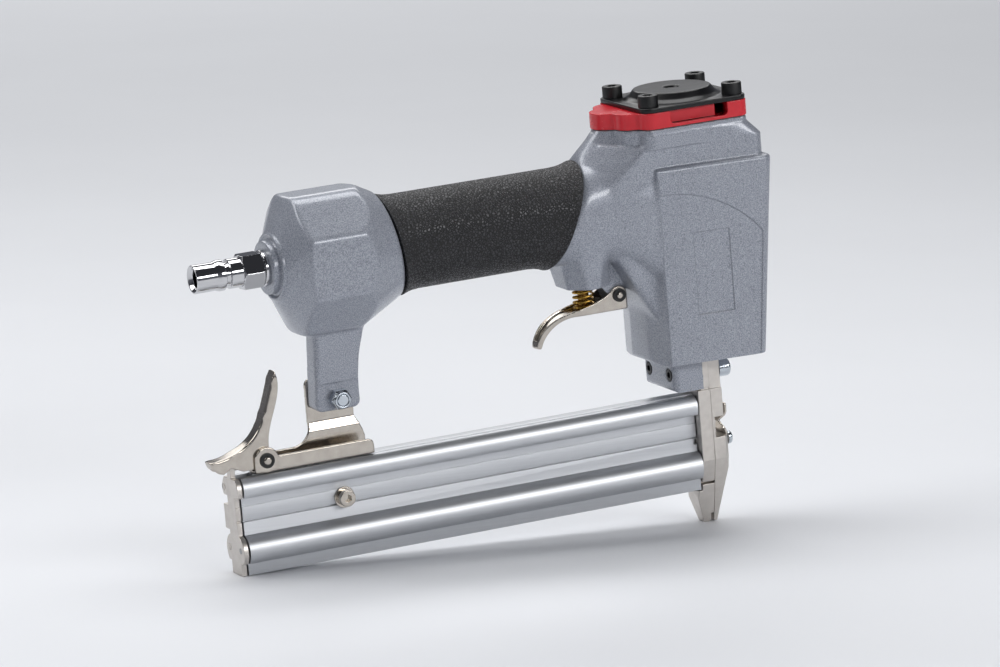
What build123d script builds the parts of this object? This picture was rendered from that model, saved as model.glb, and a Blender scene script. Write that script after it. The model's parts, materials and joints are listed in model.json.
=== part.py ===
from build123d import *
import math
import os

# A pneumatic brad nailer, in millimetres.
# Each piece is drawn in the tool's own axes: the origin is the nose tip on the driver's line,
# +X points forward, +Y to the left, +Z up the driver's line. At the end the whole tool is tipped
# to the stance in which it rests on its nose tip and the heel of its magazine.

# Head casting
head_bottom_z = 74.1
head_ledge_z = 158.3
head_shoulder_z = 167.5
head_neck_z = 173.0
head_top_z = 175.3
head_rear_x = -26.5
head_edge_x = -22.7
head_front_low_x = 21.1
head_front_high_x = 29.6
head_half_width = 27.0
head_edge_half_width = 22.0
head_rear_half_width = 8.0
head_rear_radius = 6.0
head_heel_radius = 2.5
head_corner_radius = 4.5
head_edge_radius = 1.5
band_inset = 2.5
band_corner_radius = 4.5
side_recess_depth = 0.5
recess_arc_crease_z = 147.4
recess_arc_middle = 25.4
recess_arc_middle_z = 142.5
recess_length = 45.4
recess_arc_front_z = 126.7
recess_foot_slant = 4.5
recess_foot_margin = 3.0
name_plate_from_crease = 13.4
name_plate_length = 17.5
name_plate_low_z = 93.8
name_plate_height = 36.6
name_plate_corner_radius = 1.0

# Neck between head and handle
neck_head_x = -17.0
neck_head_half_width = 20.6
neck_head_low_z = 92.0
neck_head_high_z = 160.0
neck_head_squareness = 6.0
neck_rear_x = -35.0
neck_rear_half_width = 20.4
neck_rear_low_z = 118.0
neck_rear_high_z = 160.0
neck_rear_squareness = 3.4
neck_mid_x = -49.5
neck_mid_half_width = 18.8
neck_mid_low_z = 120.5
neck_mid_high_z = 163.0
neck_mid_squareness = 2.5
neck_grip_x = -71.0
neck_grip_squareness = 2.15
neck_points = 24

# Tower behind the head, which carries the prow of the cap
collar_z = 167.0
collar_inset = 0.3
tower_base_z = 140.0
tower_foot_z = 154.0
tower_foot_corner_x = -40.0
tower_foot_half_width = 19.8
tower_foot_tip_x = -60.5
tower_foot_tip_half_width = 9.0
tower_foot_radius = 12.0
tower_front_z = 167.0
tower_top_z = 170.2
tower_corner_x = -23.5
tower_half_width = 20.6
tower_tip_x = -45.5
tower_tip_half_width = 2.5
tower_tip_radius = 4.0
collar_foot_low_z = 169.0
collar_foot_low_tip_x = -46.6
collar_foot_high_z = 174.3
collar_foot_high_tip_x = -41.0
collar_foot_half_width = 17.0

# Handle and grip
handle_z = 142.0
grip_half_height = 20.3
grip_half_width = 18.2
grip_wall = 2.8
grip_front_top_x = -51.0
grip_front_bottom_x = -68.0
grip_rear_top_x = -142.5
grip_rear_bottom_x = -136.0
grip_end_gap = 0.2
handle_passage_radius = 11.0

# Rear barrel and air inlet
barrel_z = 140.6
barrel_apothem = 29.7
barrel_half_width = 25.0
barrel_side_half_height = 12.3
barrel_top_half_width = 10.0
barrel_top_drop = 1.2
barrel_rear_x = -190.0
barrel_rear_length = 8.6
barrel_shoulder_front_x = -157.6
barrel_front_length = 21.6
barrel_rear_radius = 15.0
barrel_front_radius = 20.6
barrel_corner_radius = 32.0
barrel_edge_radius = 4.0
barrel_top_edge_radius = 9.0
inlet_ring_radius = 14.2
inlet_ring_inner_radius = 12.8
inlet_ring_height = 0.8
inlet_boss_radius = 11.2
inlet_boss_height = 2.7
inlet_thread_radius = 6.6
inlet_thread_depth = 12.0
inlet_thread_gap = 2.0

# Leg
leg_front_x = -158.0
leg_rear_x = -178.0
leg_half_width = 5.5
leg_bottom_z = 77.3
leg_corner_radius = 3.0
leg_edge_radius = 2.0
leg_flare_z = 84.5
leg_flare = 8.1
leg_root = 6.0
leg_near_face_z = 89.3
leg_far_face_z = 90.8
leg_face_depth = 0.5
leg_bolt_x = -168.0
leg_bolt_z = 82.3

# Air plug
plug_hex_width = 14.0
plug_hex_length = 9.5
plug_flange_radius = 7.6
plug_flange_length = 2.0
plug_collar_radius = 6.2
plug_collar_length = 5.0
plug_groove_radius = 4.9
plug_groove_length = 2.4
plug_nose_radius = 5.95
plug_nose_length = 9.0
plug_bead_radius = 6.5
plug_bead_length = 4.0
plug_bead_taper = 2.0
plug_bore_radius = 3.75
plug_mouth_radius = 5.2
plug_mouth_depth = 1.6

# Cylinder, piston and driver
chamber_gap = 1.3
seat_clearance = 0.1
seat_top_z = 112.0
floor_z = 82.0
floor_hole_radius = 5.8
cylinder_bore_radius = 16.5
cylinder_wall = 2.0
cylinder_top_z = 158.0
cylinder_seal_z = 100.0
cylinder_seal_radius = 0.9
cylinder_groove_depth = 1.2
piston_clearance = 0.06
piston_top_gap = 0.3
piston_height = 12.0
piston_ring_radius = 1.1
piston_ring_squeeze = 0.02
stem_radius = 5.0
stem_length = 8.0
driver_rest_z = 50.0
driver_stroke = 50.0
driver_thickness = 1.2
driver_width = 3.0
driver_clearance = 0.12
bumper_gap = 0.3
bumper_hole_radius = 5.8
bumper_chamfer = 2.0

# Head valve and cap
valve_ring_height = 9.5
valve_pocket_depth = 3.0
valve_pocket_room = 0.6
valve_ring_clearance = 0.1
valve_seat_gap = 0.05
exhaust_tube_outer_radius = 9.6
exhaust_tube_bore_radius = 6.5
exhaust_tube_end_z = 160.5
valve_spring_radius = 13.0
valve_spring_wire = 0.5
valve_spring_turns = 2.5
gasket_thickness = 0.4
gasket_inset = 0.8
cap_centre_x = -2.4
cap_height = 6.8
cap_wall = 2.6
cap_floor = 1.3
cap_half_width = 23.0
cap_corner_radius = 5.1
prow_lobe_x = -27.0
prow_lobe_y = 9.5
prow_lobe_radius = 7.4
prow_tip_x = -32.5
prow_tip_radius = 8.2
prow_fillet = 2.5
exhaust_low_x = -15.0
exhaust_high_x = 11.8
exhaust_depth = 5.4
exhaust_corner_radius = 2.0
baffle_y = -17.5
baffle_thickness = 1.4
baffle_gap = 4.0
plate_thickness = 2.1
plate_inset = 0.2
dome_base_radius = 20.6
dome_top_radius = 16.3
dome_height = 3.9
dome_shoulder_radius = 18.4
dome_shoulder_height = 1.3
dimple_radius = 3.4
dimple_depth = 1.2
cap_screw_pitch_x = 39.2
cap_screw_pitch_y = 34.0
cap_screw_depth = 14.0
screw_end_gap = 2.0

# Socket screws and other fasteners
m5_radius = 2.5
m5_head_radius = 4.25
m5_head_height = 5.0
m5_top_radius = 3.8
m5_nut_width = 8.0
m5_nut_height = 4.0
m5_nut_collar_radius = 3.5
m5_nut_collar_height = 1.4
m4_radius = 2.0
m4_head_radius = 3.5
m4_head_height = 3.6
m4_top_radius = 3.2
m4_pan_radius = 3.8
m4_pan_height = 5.6
m4_pan_top = 2.6
m3_radius = 1.5
m3_head_radius = 2.75
m3_head_height = 3.0
m3_top_radius = 2.4
m3_pan_radius = 2.9
m3_pan_height = 2.0
m3_pan_top = 1.8
m5_bolt_head_height = 3.5
slip = 0.02
bolt_clearance = 0.1
coil_bends = 12

# Trigger and its valve
trigger_pin_x = -37.3
trigger_pin_z = 105.2
trigger_pin_radius = 1.5
trigger_half_width = 6.5
trigger_wall = 1.2
trigger_lug_half_width = 5.2
trigger_ear_radius = 3.9
trigger_clearance = 0.05
trigger_face_z = 98.7
trigger_straight = 20.1
trigger_curl_radius = 16.5
trigger_curl_angle = 74.0
trigger_tip_half_width = 2.5
trigger_tip_height = 2.4
trigger_taper_start = 18.2
trigger_cheek_low = 28.0
trigger_cheek_low_rise = 0.4
trigger_cheek_high = 16.5
trigger_cheek_high_rise = 3.4
clip_thickness = 0.8
clip_overhang = 1.4
pin_tail = 0.7
boss_bottom_z = 110.6
boss_rear_x = -60.6
boss_rear_half_width = 6.0
boss_side_rear_x = -54.0
boss_side_front_x = -48.5
boss_half_width = 12.8
boss_front_x = -41.8
boss_front_half_width = 8.2
boss_radius = 2.0
boss_top_z = 136.0
boss_top_rear_x = -67.0
boss_top_rear_half_width = 8.0
boss_top_side_rear_x = -60.0
boss_top_side_front_x = -47.0
boss_top_half_width = 18.0
boss_top_front_x = -42.6
boss_top_front_half_width = 11.0
boss_top_radius = 4.0
lug_shoulder_z = 113.6
lug_top_z = 118.0
lug_root_z = 127.0
valve_x = -51.0
bushing_radius = 6.9
bushing_height = 16.0
valve_seat_height = 5.0
valve_chamber_room = 0.5
valve_stem_radius = 2.4
valve_stem_clearance = 0.05
valve_stem_chamfer = 0.6
valve_stem_top_z = 121.0
valve_head_radius = 4.2
valve_head_height = 2.0
valve_seal_radius = 0.8
valve_gap = 0.3
trigger_spring_radius = 4.2
trigger_spring_wire = 0.5
trigger_spring_turns = 4.5

# Nose
nose_top_gap = 0.2
nose_ear_half_width = 13.0
nose_ear_low_z = 60.6
nose_ear_front_x = -1.6
nose_block_front_x = -5.0
nose_block_rear_x = -18.7
nose_block_half_width = 14.7
nose_block_low_z = 60.5
nose_block_radius = 3.0
nose_block_screw_y = 9.5
nose_block_screw_z = 68.0
nose_rear_x = -5.0
nose_upper_rear_x = -3.2
nose_half_width = 8.3
nose_upper_half_width = 7.5
nose_step_z = 58.5
nose_crease_z = 27.8
nose_slit_z = 17.2
nose_slit_height = 1.0
nose_slit_core = 3.0
nose_front_x = 6.3
nose_window_high_z = 46.0
nose_window_low_z = 37.2
nose_window_x = 2.0
nose_lower_front_x = 8.3
nose_chamfer = 2.0
tip_rear_x = -4.0
tip_front_x = 2.4
tip_half_width = 2.5
tip_heel_x = -8.0
tip_heel_z = 14.6
tip_heel_half_width = 2.0
tip_shoulder_x = -6.3
tip_shoulder_half_width = 6.3
tip_notch_width = 1.2
tip_notch_height = 3.6
nose_screw_y = 4.2
nose_screw_z = 66.0
clip_screw_y = 3.2
clip_screw_z = 35.2
clip_width = 9.6
clip_leaf = 0.9
clip_tab_x = 8.6
clip_tab_z = 50.5
clip_shoulder_z = 46.2
clip_fold_x = 4.6
clip_fold_z = 43.8
clip_foot_low_z = 32.0

# Magazine
magazine_front_x = -5.4
magazine_rear_x = -214.6
magazine_bottom_z = 15.0
magazine_top_z = 56.1
strip_top_z = 20.4
strip_half_width = 5.2
lower_rib_shelf = 2.0
lower_rib_z = 24.5
lower_rib_half_width = 9.3
lower_rib_top_z = 31.9
groove_z = 37.8
groove_height = 0.7
groove_depth = 0.6
waist_half_width = 4.3
waist_upper_half_width = 4.1
step_z = 43.9
neck_wall_half_width = 3.8
upper_rib_bottom_z = 48.1
upper_rib_half_width = 8.2
upper_rib_z = 51.0
upper_rib_edge = 0.8
lip_thickness = 2.7
track_half_width = 0.8
cover_floor = 2.6
rail_top_z = 56.5
rail_neck_half_width = 2.6
rail_flange_half_width = 4.6
rail_flange_low_z = 49.8
rail_wall_outer_y = 2.2
rail_gap = 0.3
rod_y = -5.6
rod_z = 26.0
rod_radius = 1.2
rod_bore_radius = 2.9
rod_slot_half_height = 1.0
rod_front_x = -12.0
screw_port_y = 5.8
upper_port_y = 6.5
upper_port_z = 51.3
side_screw_x = -169.0
side_screw_z = 40.4
side_screw_end_gap = 0.3
washer_radius = 4.5
washer_thickness = 0.9
front_hole_x = -6.1
front_hole_z = 36.0
front_hole_radius = 1.3

# Tail plate
tail_thickness = 2.3
tail_gap = 0.7
tail_post_radius = 1.9
tail_ear_half_width = 8.6
tail_ear_low_z = 33.5
tail_ear_high_z = 44.0
tail_hook_half_width = 1.8
tail_hook_top_z = 60.6
tail_hook_reach = 4.2
tail_hook_thickness = 1.5
tail_screw_radius = 1.0
tail_screw_length = 9.0
tail_screw_head_radius = 1.5

# Pusher
pusher_length = 22.0
pusher_gap = 4.0
pusher_half_thickness = 0.6
pusher_high_z = 46.4
pusher_slide_radius = 2.6
pusher_arm_half_height = 0.8
pusher_slide_length = 12.0
pusher_clearance = 0.08
pusher_spring_radius = 2.05
pusher_spring_wire = 0.3
pusher_spring_turns = 14

# Bracket and latch
bracket_thickness = 1.5
bracket_half_width = 5.2
bracket_front_x = -153.5
bracket_rear_x = -208.0
bracket_cheek_z = 63.0
bracket_eye_radius = 5.5
bracket_corner_radius = 3.0
upright_top_z = 90.3
upright_rear_x = -178.5
upright_front_x = -157.5
upright_fillet = 8.0
joggle_low_z = 68.2
joggle_high_z = 71.8
bracket_screw_rear_x = -186.0
bracket_screw_front_x = -163.0
bracket_screw_end_gap = 0.4
latch_pin_x = -202.0
latch_pin_z = 61.7
latch_pin_radius = 1.8
latch_half_width = 3.5
latch_wall = 1.2
latch_eye_radius = 3.3
latch_clearance = 0.06
latch_height = 36.3
latch_heel = 10.2
latch_spring_radius = 2.9
latch_spring_wire = 0.35
latch_spring_turns = 3.0

# Worked out from the values above
cylinder_base_z = floor_z
cylinder_outer_radius = cylinder_bore_radius + cylinder_wall
seat_radius = cylinder_outer_radius + seat_clearance
chamber_radius = cylinder_outer_radius + chamber_gap
piston_top_z = cylinder_top_z - piston_top_gap
piston_bottom_z = piston_top_z - piston_height
bumper_top_z = piston_bottom_z - driver_stroke - bumper_gap
cap_base_z = head_top_z + gasket_thickness
cap_top_z = cap_base_z + cap_height
plate_top_z = cap_top_z + plate_thickness
cap_length = cap_screw_pitch_x + 2 * cap_corner_radius
cap_front_x = cap_centre_x + cap_length / 2
cap_shoulder_x = cap_centre_x - cap_length / 2
cap_rear_x = prow_tip_x - prow_tip_radius
barrel_shoulder_rear_x = barrel_rear_x + barrel_rear_length
barrel_front_x = barrel_shoulder_front_x + barrel_front_length
inlet_ring_x = barrel_rear_x - inlet_ring_height
inlet_boss_x = inlet_ring_x - inlet_boss_height
nose_seam_x = driver_thickness / 2 + driver_clearance
head_taper = (head_half_width - head_edge_half_width) / (head_front_low_x - head_edge_x)
leg_face_half_width = leg_half_width - leg_face_depth
upright_inner_y = leg_face_half_width
tail_front_x = magazine_rear_x - tail_gap
tail_rear_x = tail_front_x - tail_thickness
bracket_inner_y = bracket_half_width - bracket_thickness
bracket_screw_xs = (bracket_screw_rear_x, bracket_screw_front_x)
nose_top_z = head_bottom_z - nose_top_gap
stance_angle = math.degrees(math.atan2(magazine_bottom_z, tip_rear_x - tail_rear_x))


def plate(outline, y_low, y_high):
    """A plate cut to an outline drawn in X and Z, filling a span of Y."""
    return extrude(Plane.XZ.offset(-y_high) * outline, y_high - y_low)


def layer(outline, z_low, z_high):
    """A layer cut to an outline drawn in X and Y, filling a span of Z."""
    return extrude(Plane.XY.offset(z_low) * outline, z_high - z_low)


def bar(outline, x_low, x_high):
    """A bar with a section drawn in Y and Z, filling a span of X."""
    return extrude(Plane.YZ.offset(x_low) * outline, x_high - x_low)


def block(x_low, x_high, y_low, y_high, z_low, z_high):
    centre = ((x_low + x_high) / 2, (y_low + y_high) / 2, (z_low + z_high) / 2)
    return Pos(*centre) * Box(x_high - x_low, y_high - y_low, z_high - z_low)


def polygon(*points):
    return make_face(Polyline(*points, close=True))


def rod(radius, start, end):
    """A round bar between two points."""
    run = Vector(*end) - Vector(*start)
    return extrude(Plane(origin=start, z_dir=run) * Circle(radius), run.length)


def turned(origin, axis, *stations):
    """A turned solid: stations give the distance along the axis and the radius there."""
    axis = Vector(*axis)
    across = Vector(0, 0, 1) if abs(axis.Z) < 0.5 else Vector(1, 0, 0)
    plane = Plane(origin=origin, x_dir=across, z_dir=across.cross(axis))
    points = [(radius, along) for along, radius in stations]
    return revolve(plane * polygon(*points), Axis(origin, axis))


def coil(origin, axis, radius, wire, turns, length):
    """An open coil of wire, bent in short straight runs."""
    helix = Helix(length / turns, length, radius)
    bends = round(coil_bends * turns)
    path = Polyline(*[helix @ (i / bends) for i in range(bends + 1)])
    wire_end = Plane(origin=path @ 0, z_dir=path % 0) * RegularPolygon(wire, 4)
    return Plane(origin=origin, z_dir=axis) * sweep(wire_end, path, transition=Transition.RIGHT)


def screw(origin, axis, shank_radius, shank_length, head_radius, head_height, top_radius):
    """A screw: the origin is under its head and the axis points out of it; the head narrows to its top."""
    shoulder = head_height - (head_radius - top_radius)
    return turned(
        origin, axis,
        (-shank_length, 0), (-shank_length, shank_radius), (0, shank_radius), (0, head_radius),
        (shoulder, head_radius), (head_height, top_radius), (head_height, 0),
    )


def retaining_clips(x, z, pin_radius, half_width):
    """A pair of snap rings on a cross pin, one outside each face."""
    outside = half_width + clip_thickness
    clip = Circle(pin_radius + clip_overhang) - Circle(pin_radius + slip)
    shape = plate(Pos(x, z) * clip, half_width, outside)
    return [shape, mirror(shape, Plane.XZ)]


def cross_pin(x, z, radius, half_width):
    """A cross pin long enough to carry a snap ring outside each face."""
    end = half_width + clip_thickness + pin_tail
    return rod(radius, (x, -end, z), (x, end, z))


# Body casting

def head_half_at(x):
    """Half the head's width: its sides spread a little from the rear crease to the front."""
    return head_edge_half_width + head_taper * (x - head_edge_x)


def head_plan():
    rear, edge, front = head_rear_half_width, head_edge_half_width, head_half_at(head_front_high_x)
    return polygon(
        (head_rear_x, -rear), (head_edge_x, -edge), (head_front_high_x, -front),
        (head_front_high_x, front), (head_edge_x, edge), (head_rear_x, rear),
    )


def tapered_outline(rear_x, front_x, rear_half, front_half, radius):
    """A four-sided outline with rounded corners whose front may be wider than its rear."""
    shape = polygon((rear_x, -rear_half), (front_x, -front_half), (front_x, front_half), (rear_x, rear_half))
    return fillet(shape.vertices(), radius)


def cap_outline(inset):
    """The cap's outline: square corners round the screws and a prow of three lobes behind them."""
    shape = Pos(cap_centre_x, 0) * RectangleRounded(cap_length, 2 * cap_half_width, cap_corner_radius)
    lobes = [(prow_lobe_x, -prow_lobe_y), (prow_lobe_x, prow_lobe_y)]
    shape += polygon(*lobes, (prow_tip_x, prow_tip_radius), (prow_tip_x, -prow_tip_radius))
    shape += [Pos(*place) * Circle(prow_lobe_radius) for place in lobes]
    shape += Pos(prow_tip_x, 0) * Circle(prow_tip_radius)
    return offset(offset(shape, prow_fillet), -prow_fillet - inset)


def head_form():
    side = polygon(
        (head_rear_x, head_ledge_z), (head_rear_x, head_bottom_z), (head_front_low_x, head_bottom_z),
        (head_front_high_x, head_ledge_z),
    )
    heel = side.vertices().sort_by_distance((head_rear_x, head_bottom_z))[0]
    side = fillet(heel, head_heel_radius)
    reach = 2 * head_half_width
    plan = head_plan()
    rear = plan.vertices().filter_by(lambda v: abs(v.X - head_rear_x) < 0.01)
    form = plate(side, -reach, reach) & layer(fillet(rear, head_rear_radius), head_bottom_z, head_ledge_z)
    long_edges = form.edges().filter_by(lambda e: e.length > 70 and e.center().X > 0)
    form = fillet(long_edges, head_corner_radius)
    rim = form.edges().filter_by(lambda e: abs(e.center().Z - head_ledge_z) < 0.01)
    form = fillet(rim, head_edge_radius)
    band_rear = head_rear_x + band_inset
    band_front = head_front_high_x - band_inset
    band = tapered_outline(band_rear, band_front, head_half_at(band_rear) - band_inset,
                           head_half_at(band_front) - band_inset, band_corner_radius)
    form += layer(band, head_ledge_z - band_inset, head_shoulder_z)
    top = tapered_outline(cap_shoulder_x, cap_front_x, cap_half_width, cap_half_width, cap_corner_radius)
    form += loft([Plane.XY.offset(head_shoulder_z) * band, Plane.XY.offset(head_neck_z) * top])
    return form + layer(cap_outline(collar_inset), collar_z, head_top_z)


def prow_outline(corner_x, half_width, tip_x, tip_half_width, radius):
    """An outline that narrows to the rear from a pair of corners, with those and its tip rounded."""
    front = neck_head_x
    shape = polygon(
        (front, -half_width), (front, half_width), (corner_x, half_width), (tip_x, tip_half_width),
        (tip_x, -tip_half_width), (corner_x, -half_width),
    )
    return fillet(shape.vertices().filter_by(lambda v: v.X < front - slip), radius)


def tower_form():
    foot = prow_outline(tower_foot_corner_x, tower_foot_half_width, tower_foot_tip_x,
                        tower_foot_tip_half_width, tower_foot_radius)
    top = prow_outline(tower_corner_x, tower_half_width, tower_tip_x, tower_tip_half_width, tower_tip_radius)
    form = loft([Plane.XY.offset(tower_foot_z) * foot, Plane.XY.offset(tower_top_z) * top])
    form += layer(foot, tower_base_z, tower_foot_z)
    above = polygon((neck_head_x, tower_front_z), (tower_tip_x, tower_top_z), (tower_tip_x, head_top_z),
                    (neck_head_x, head_top_z))
    form -= plate(above, -head_half_width, head_half_width)
    low = prow_outline(tower_corner_x, collar_foot_half_width, collar_foot_low_tip_x, tower_tip_half_width,
                       tower_tip_radius)
    high = prow_outline(tower_corner_x, collar_foot_half_width, collar_foot_high_tip_x, tower_tip_half_width,
                        tower_tip_radius)
    form += loft([Plane.XY.offset(collar_foot_low_z) * low, Plane.XY.offset(collar_foot_high_z) * high])
    return split(form, slant(grip_front_top_x, grip_front_bottom_x), keep=Keep.TOP)


def handle_outline(inset):
    """The upright obround of the handle, drawn in Y and Z."""
    height, width = 2 * (grip_half_height - inset), 2 * (grip_half_width - inset)
    return Pos(0, handle_z) * SlotOverall(height, width, rotation=90)


def neck_section(x, half_width, low_z, high_z, squareness):
    """A rounded section across the neck: squareness 2 gives an oval and a larger value a boxier one."""
    middle = (low_z + high_z) / 2
    half_height = (high_z - low_z) / 2
    points = []
    for step in range(neck_points):
        angle = 2 * math.pi * step / neck_points
        across, up = math.cos(angle), math.sin(angle)
        y = math.copysign(abs(across) ** (2 / squareness), across)
        z = math.copysign(abs(up) ** (2 / squareness), up)
        points.append((half_width * y, middle + half_height * z))
    return Plane.YZ.offset(x) * make_face(Spline(*points, periodic=True))


def slant(top_x, bottom_x):
    """A plane across the handle that leans with its height and faces forward."""
    middle = ((top_x + bottom_x) / 2, 0, handle_z)
    return Plane(origin=middle, x_dir=(0, 1, 0), z_dir=(2 * grip_half_height, 0, bottom_x - top_x))


def neck_form():
    form = loft([
        neck_section(neck_head_x, neck_head_half_width, neck_head_low_z, neck_head_high_z,
                     neck_head_squareness),
        neck_section(neck_rear_x, neck_rear_half_width, neck_rear_low_z, neck_rear_high_z,
                     neck_rear_squareness),
        neck_section(neck_mid_x, neck_mid_half_width, neck_mid_low_z, neck_mid_high_z, neck_mid_squareness),
        neck_section(neck_grip_x, grip_half_width, handle_z - grip_half_height, handle_z + grip_half_height,
                     neck_grip_squareness),
    ])
    return split(form, slant(grip_front_top_x, grip_front_bottom_x), keep=Keep.TOP)


def barrel_form():
    """The eight-sided drum with coned ends; across its width it is narrower than it is high."""
    side, top, drop = barrel_half_width, barrel_apothem, barrel_top_drop
    up, across = barrel_side_half_height, barrel_top_half_width
    octagon = polygon((side, -up), (side, up), (across, top - drop), (-across, top - drop),
                      (-side, up), (-side, -up), (-across, -top), (across, -top))
    octagon = fillet(octagon.vertices().sort_by(Axis.Y)[-2:], barrel_top_edge_radius)
    sharp = octagon.vertices().filter_by(lambda v: v.Y < up + slip)
    octagon = fillet(sharp, barrel_edge_radius)
    prism = bar(Pos(0, barrel_z) * octagon, barrel_rear_x, barrel_front_x)
    ends = turned(
        (0, 0, barrel_z), (1, 0, 0),
        (barrel_rear_x, 0), (barrel_rear_x, barrel_rear_radius),
        (barrel_shoulder_rear_x, barrel_corner_radius), (barrel_shoulder_front_x, barrel_corner_radius),
        (barrel_front_x, barrel_front_radius), (barrel_front_x, 0),
    )
    ends = scale(ends, by=(1, barrel_half_width / barrel_apothem, 1))
    grip_end = slant(grip_rear_top_x - grip_end_gap, grip_rear_bottom_x - grip_end_gap)
    drum = split(prism & ends, grip_end, keep=Keep.BOTTOM)
    drum += turned(
        (0, 0, barrel_z), (1, 0, 0),
        (inlet_ring_x, inlet_ring_inner_radius), (inlet_ring_x, inlet_ring_radius),
        (barrel_shoulder_rear_x, inlet_ring_radius), (barrel_shoulder_rear_x, inlet_ring_inner_radius),
    )
    return drum + rod(inlet_boss_radius, (inlet_boss_x, 0, barrel_z), (barrel_shoulder_rear_x, 0, barrel_z))


def leg_form():
    top_z = barrel_z - barrel_apothem + leg_root
    front = (leg_front_x, leg_flare_z)
    flare_end = (leg_front_x + leg_flare, top_z)
    rear_top = (leg_rear_x + leg_edge_radius, top_z)
    shape = make_face([
        Polyline(front, (leg_front_x, leg_bottom_z), (leg_rear_x, leg_bottom_z), rear_top, flare_end),
        TangentArc(front, flare_end, tangent=(0, 1)),
    ])
    foot = shape.vertices().filter_by(lambda v: abs(v.Y - leg_bottom_z) < 0.01)
    leg = plate(fillet(foot, leg_corner_radius), -leg_half_width, leg_half_width)
    rear = leg.edges().filter_by(lambda e: e.length > 25 and e.center().X < leg_bolt_x)
    leg = fillet(rear, leg_edge_radius)
    for low, high_z in ((-leg_half_width, leg_near_face_z), (leg_face_half_width, leg_far_face_z)):
        leg -= block(leg_rear_x, leg_front_x, low, low + leg_face_depth, leg_bottom_z, high_z)
    return leg


def boss_outline(rear_x, rear_half, side_rear_x, side_front_x, half, front_x, front_half, radius):
    """The valve boss seen from below: an eight-sided outline with rounded corners."""
    near = [(rear_x, -rear_half), (side_rear_x, -half), (side_front_x, -half), (front_x, -front_half)]
    far = [(x, -y) for x, y in reversed(near)]
    shape = polygon(*near, *far)
    return fillet(shape.vertices(), radius)


def boss_form():
    bottom = boss_outline(boss_rear_x, boss_rear_half_width, boss_side_rear_x, boss_side_front_x,
                          boss_half_width, boss_front_x, boss_front_half_width, boss_radius)
    top = boss_outline(boss_top_rear_x, boss_top_rear_half_width, boss_top_side_rear_x, boss_top_side_front_x,
                       boss_top_half_width, boss_top_front_x, boss_top_front_half_width, boss_top_radius)
    return loft([Plane.XY.offset(boss_bottom_z) * bottom, Plane.XY.offset(boss_top_z) * top])


def trigger_lug_form():
    """The web between the trigger's ears, which hangs from the neck in front of the valve boss."""
    ear = trigger_ear_radius
    front, rear, root = trigger_pin_x + ear, trigger_pin_x - ear, boss_front_x - ear
    shape = polygon(
        (front, trigger_pin_z), (front, lug_shoulder_z), (trigger_pin_x, lug_top_z),
        (trigger_pin_x, lug_root_z), (root, lug_root_z), (root, boss_bottom_z), (rear, trigger_pin_z),
    )
    shape += Pos(trigger_pin_x, trigger_pin_z) * Circle(ear)
    return plate(shape, -trigger_lug_half_width, trigger_lug_half_width)


def nose_block_form():
    form = block(nose_block_rear_x, nose_block_front_x, -nose_block_half_width, nose_block_half_width,
                 nose_block_low_z, head_bottom_z + head_edge_radius)
    rear = form.edges().filter_by(lambda e: abs(e.center().X - nose_block_rear_x) < 0.01)
    lower = rear.filter_by(lambda e: e.center().Z < head_bottom_z)
    return fillet(lower, nose_block_radius)


def side_recess():
    """The shallow side field under an arc, with the bare rectangular plate sunk into it.
    It is drawn on the side's own plane: distances forward from the rear crease, and heights."""
    low = head_bottom_z + recess_foot_margin
    crease_end, front_end = (0, recess_arc_crease_z), (recess_length, recess_arc_front_z)
    arc = ThreePointArc(crease_end, (recess_arc_middle, recess_arc_middle_z), front_end)
    edges = Polyline(front_end, (recess_length - recess_foot_slant, low), (0, low), crease_end)
    field = make_face([arc, edges])
    corner = (name_plate_from_crease + name_plate_length / 2, name_plate_low_z + name_plate_height / 2)
    plaque = Pos(*corner) * RectangleRounded(name_plate_length, name_plate_height, name_plate_corner_radius)
    side = Plane(origin=(head_edge_x, -head_edge_half_width, 0), x_dir=(1, -head_taper, 0),
                 z_dir=(-head_taper, -1, 0))
    cut = extrude(side * field, -side_recess_depth) + extrude(side * plaque, -2 * side_recess_depth)
    return cut + mirror(cut, Plane.XZ)


def cap_screw_places():
    half_x, half_y = cap_screw_pitch_x / 2, cap_screw_pitch_y / 2
    return [(cap_centre_x + sx * half_x, sy * half_y) for sx in (-1, 1) for sy in (-1, 1)]


def body_casting():
    form = head_form() + tower_form() + neck_form() + barrel_form() + leg_form()
    form += bar(handle_outline(grip_wall), barrel_shoulder_front_x, neck_mid_x)
    form += boss_form() + trigger_lug_form() + nose_block_form()
    form -= side_recess()
    form -= rod(chamber_radius, (0, 0, seat_top_z), (0, 0, head_top_z))
    form -= rod(seat_radius, (0, 0, floor_z), (0, 0, seat_top_z))
    form -= rod(floor_hole_radius, (0, 0, head_bottom_z), (0, 0, floor_z))
    form -= rod(handle_passage_radius, (barrel_shoulder_rear_x, 0, handle_z), (0, 0, handle_z))
    form -= rod(inlet_thread_radius, (inlet_boss_x, 0, barrel_z), (barrel_shoulder_rear_x, 0, barrel_z))
    form -= rod(bushing_radius + slip, (valve_x, 0, boss_bottom_z), (valve_x, 0, handle_z))
    reach = 2 * head_half_width
    form -= rod(trigger_pin_radius + slip, (trigger_pin_x, -reach, trigger_pin_z),
                (trigger_pin_x, reach, trigger_pin_z))
    form -= rod(m5_radius + bolt_clearance, (leg_bolt_x, -reach, leg_bolt_z), (leg_bolt_x, reach, leg_bolt_z))
    for x, y in cap_screw_places():
        form -= rod(m5_radius + slip, (x, y, head_top_z - cap_screw_depth), (x, y, head_top_z))
    for y in (-nose_block_screw_y, nose_block_screw_y):
        form -= rod(m3_radius + slip, (nose_block_rear_x, y, nose_block_screw_z),
                    (nose_block_front_x, y, nose_block_screw_z))
        form -= rod(m3_head_radius + bolt_clearance, (nose_block_rear_x, y, nose_block_screw_z),
                    (nose_block_rear_x + m3_head_height, y, nose_block_screw_z))
    return form


# Grip and air plug

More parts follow.
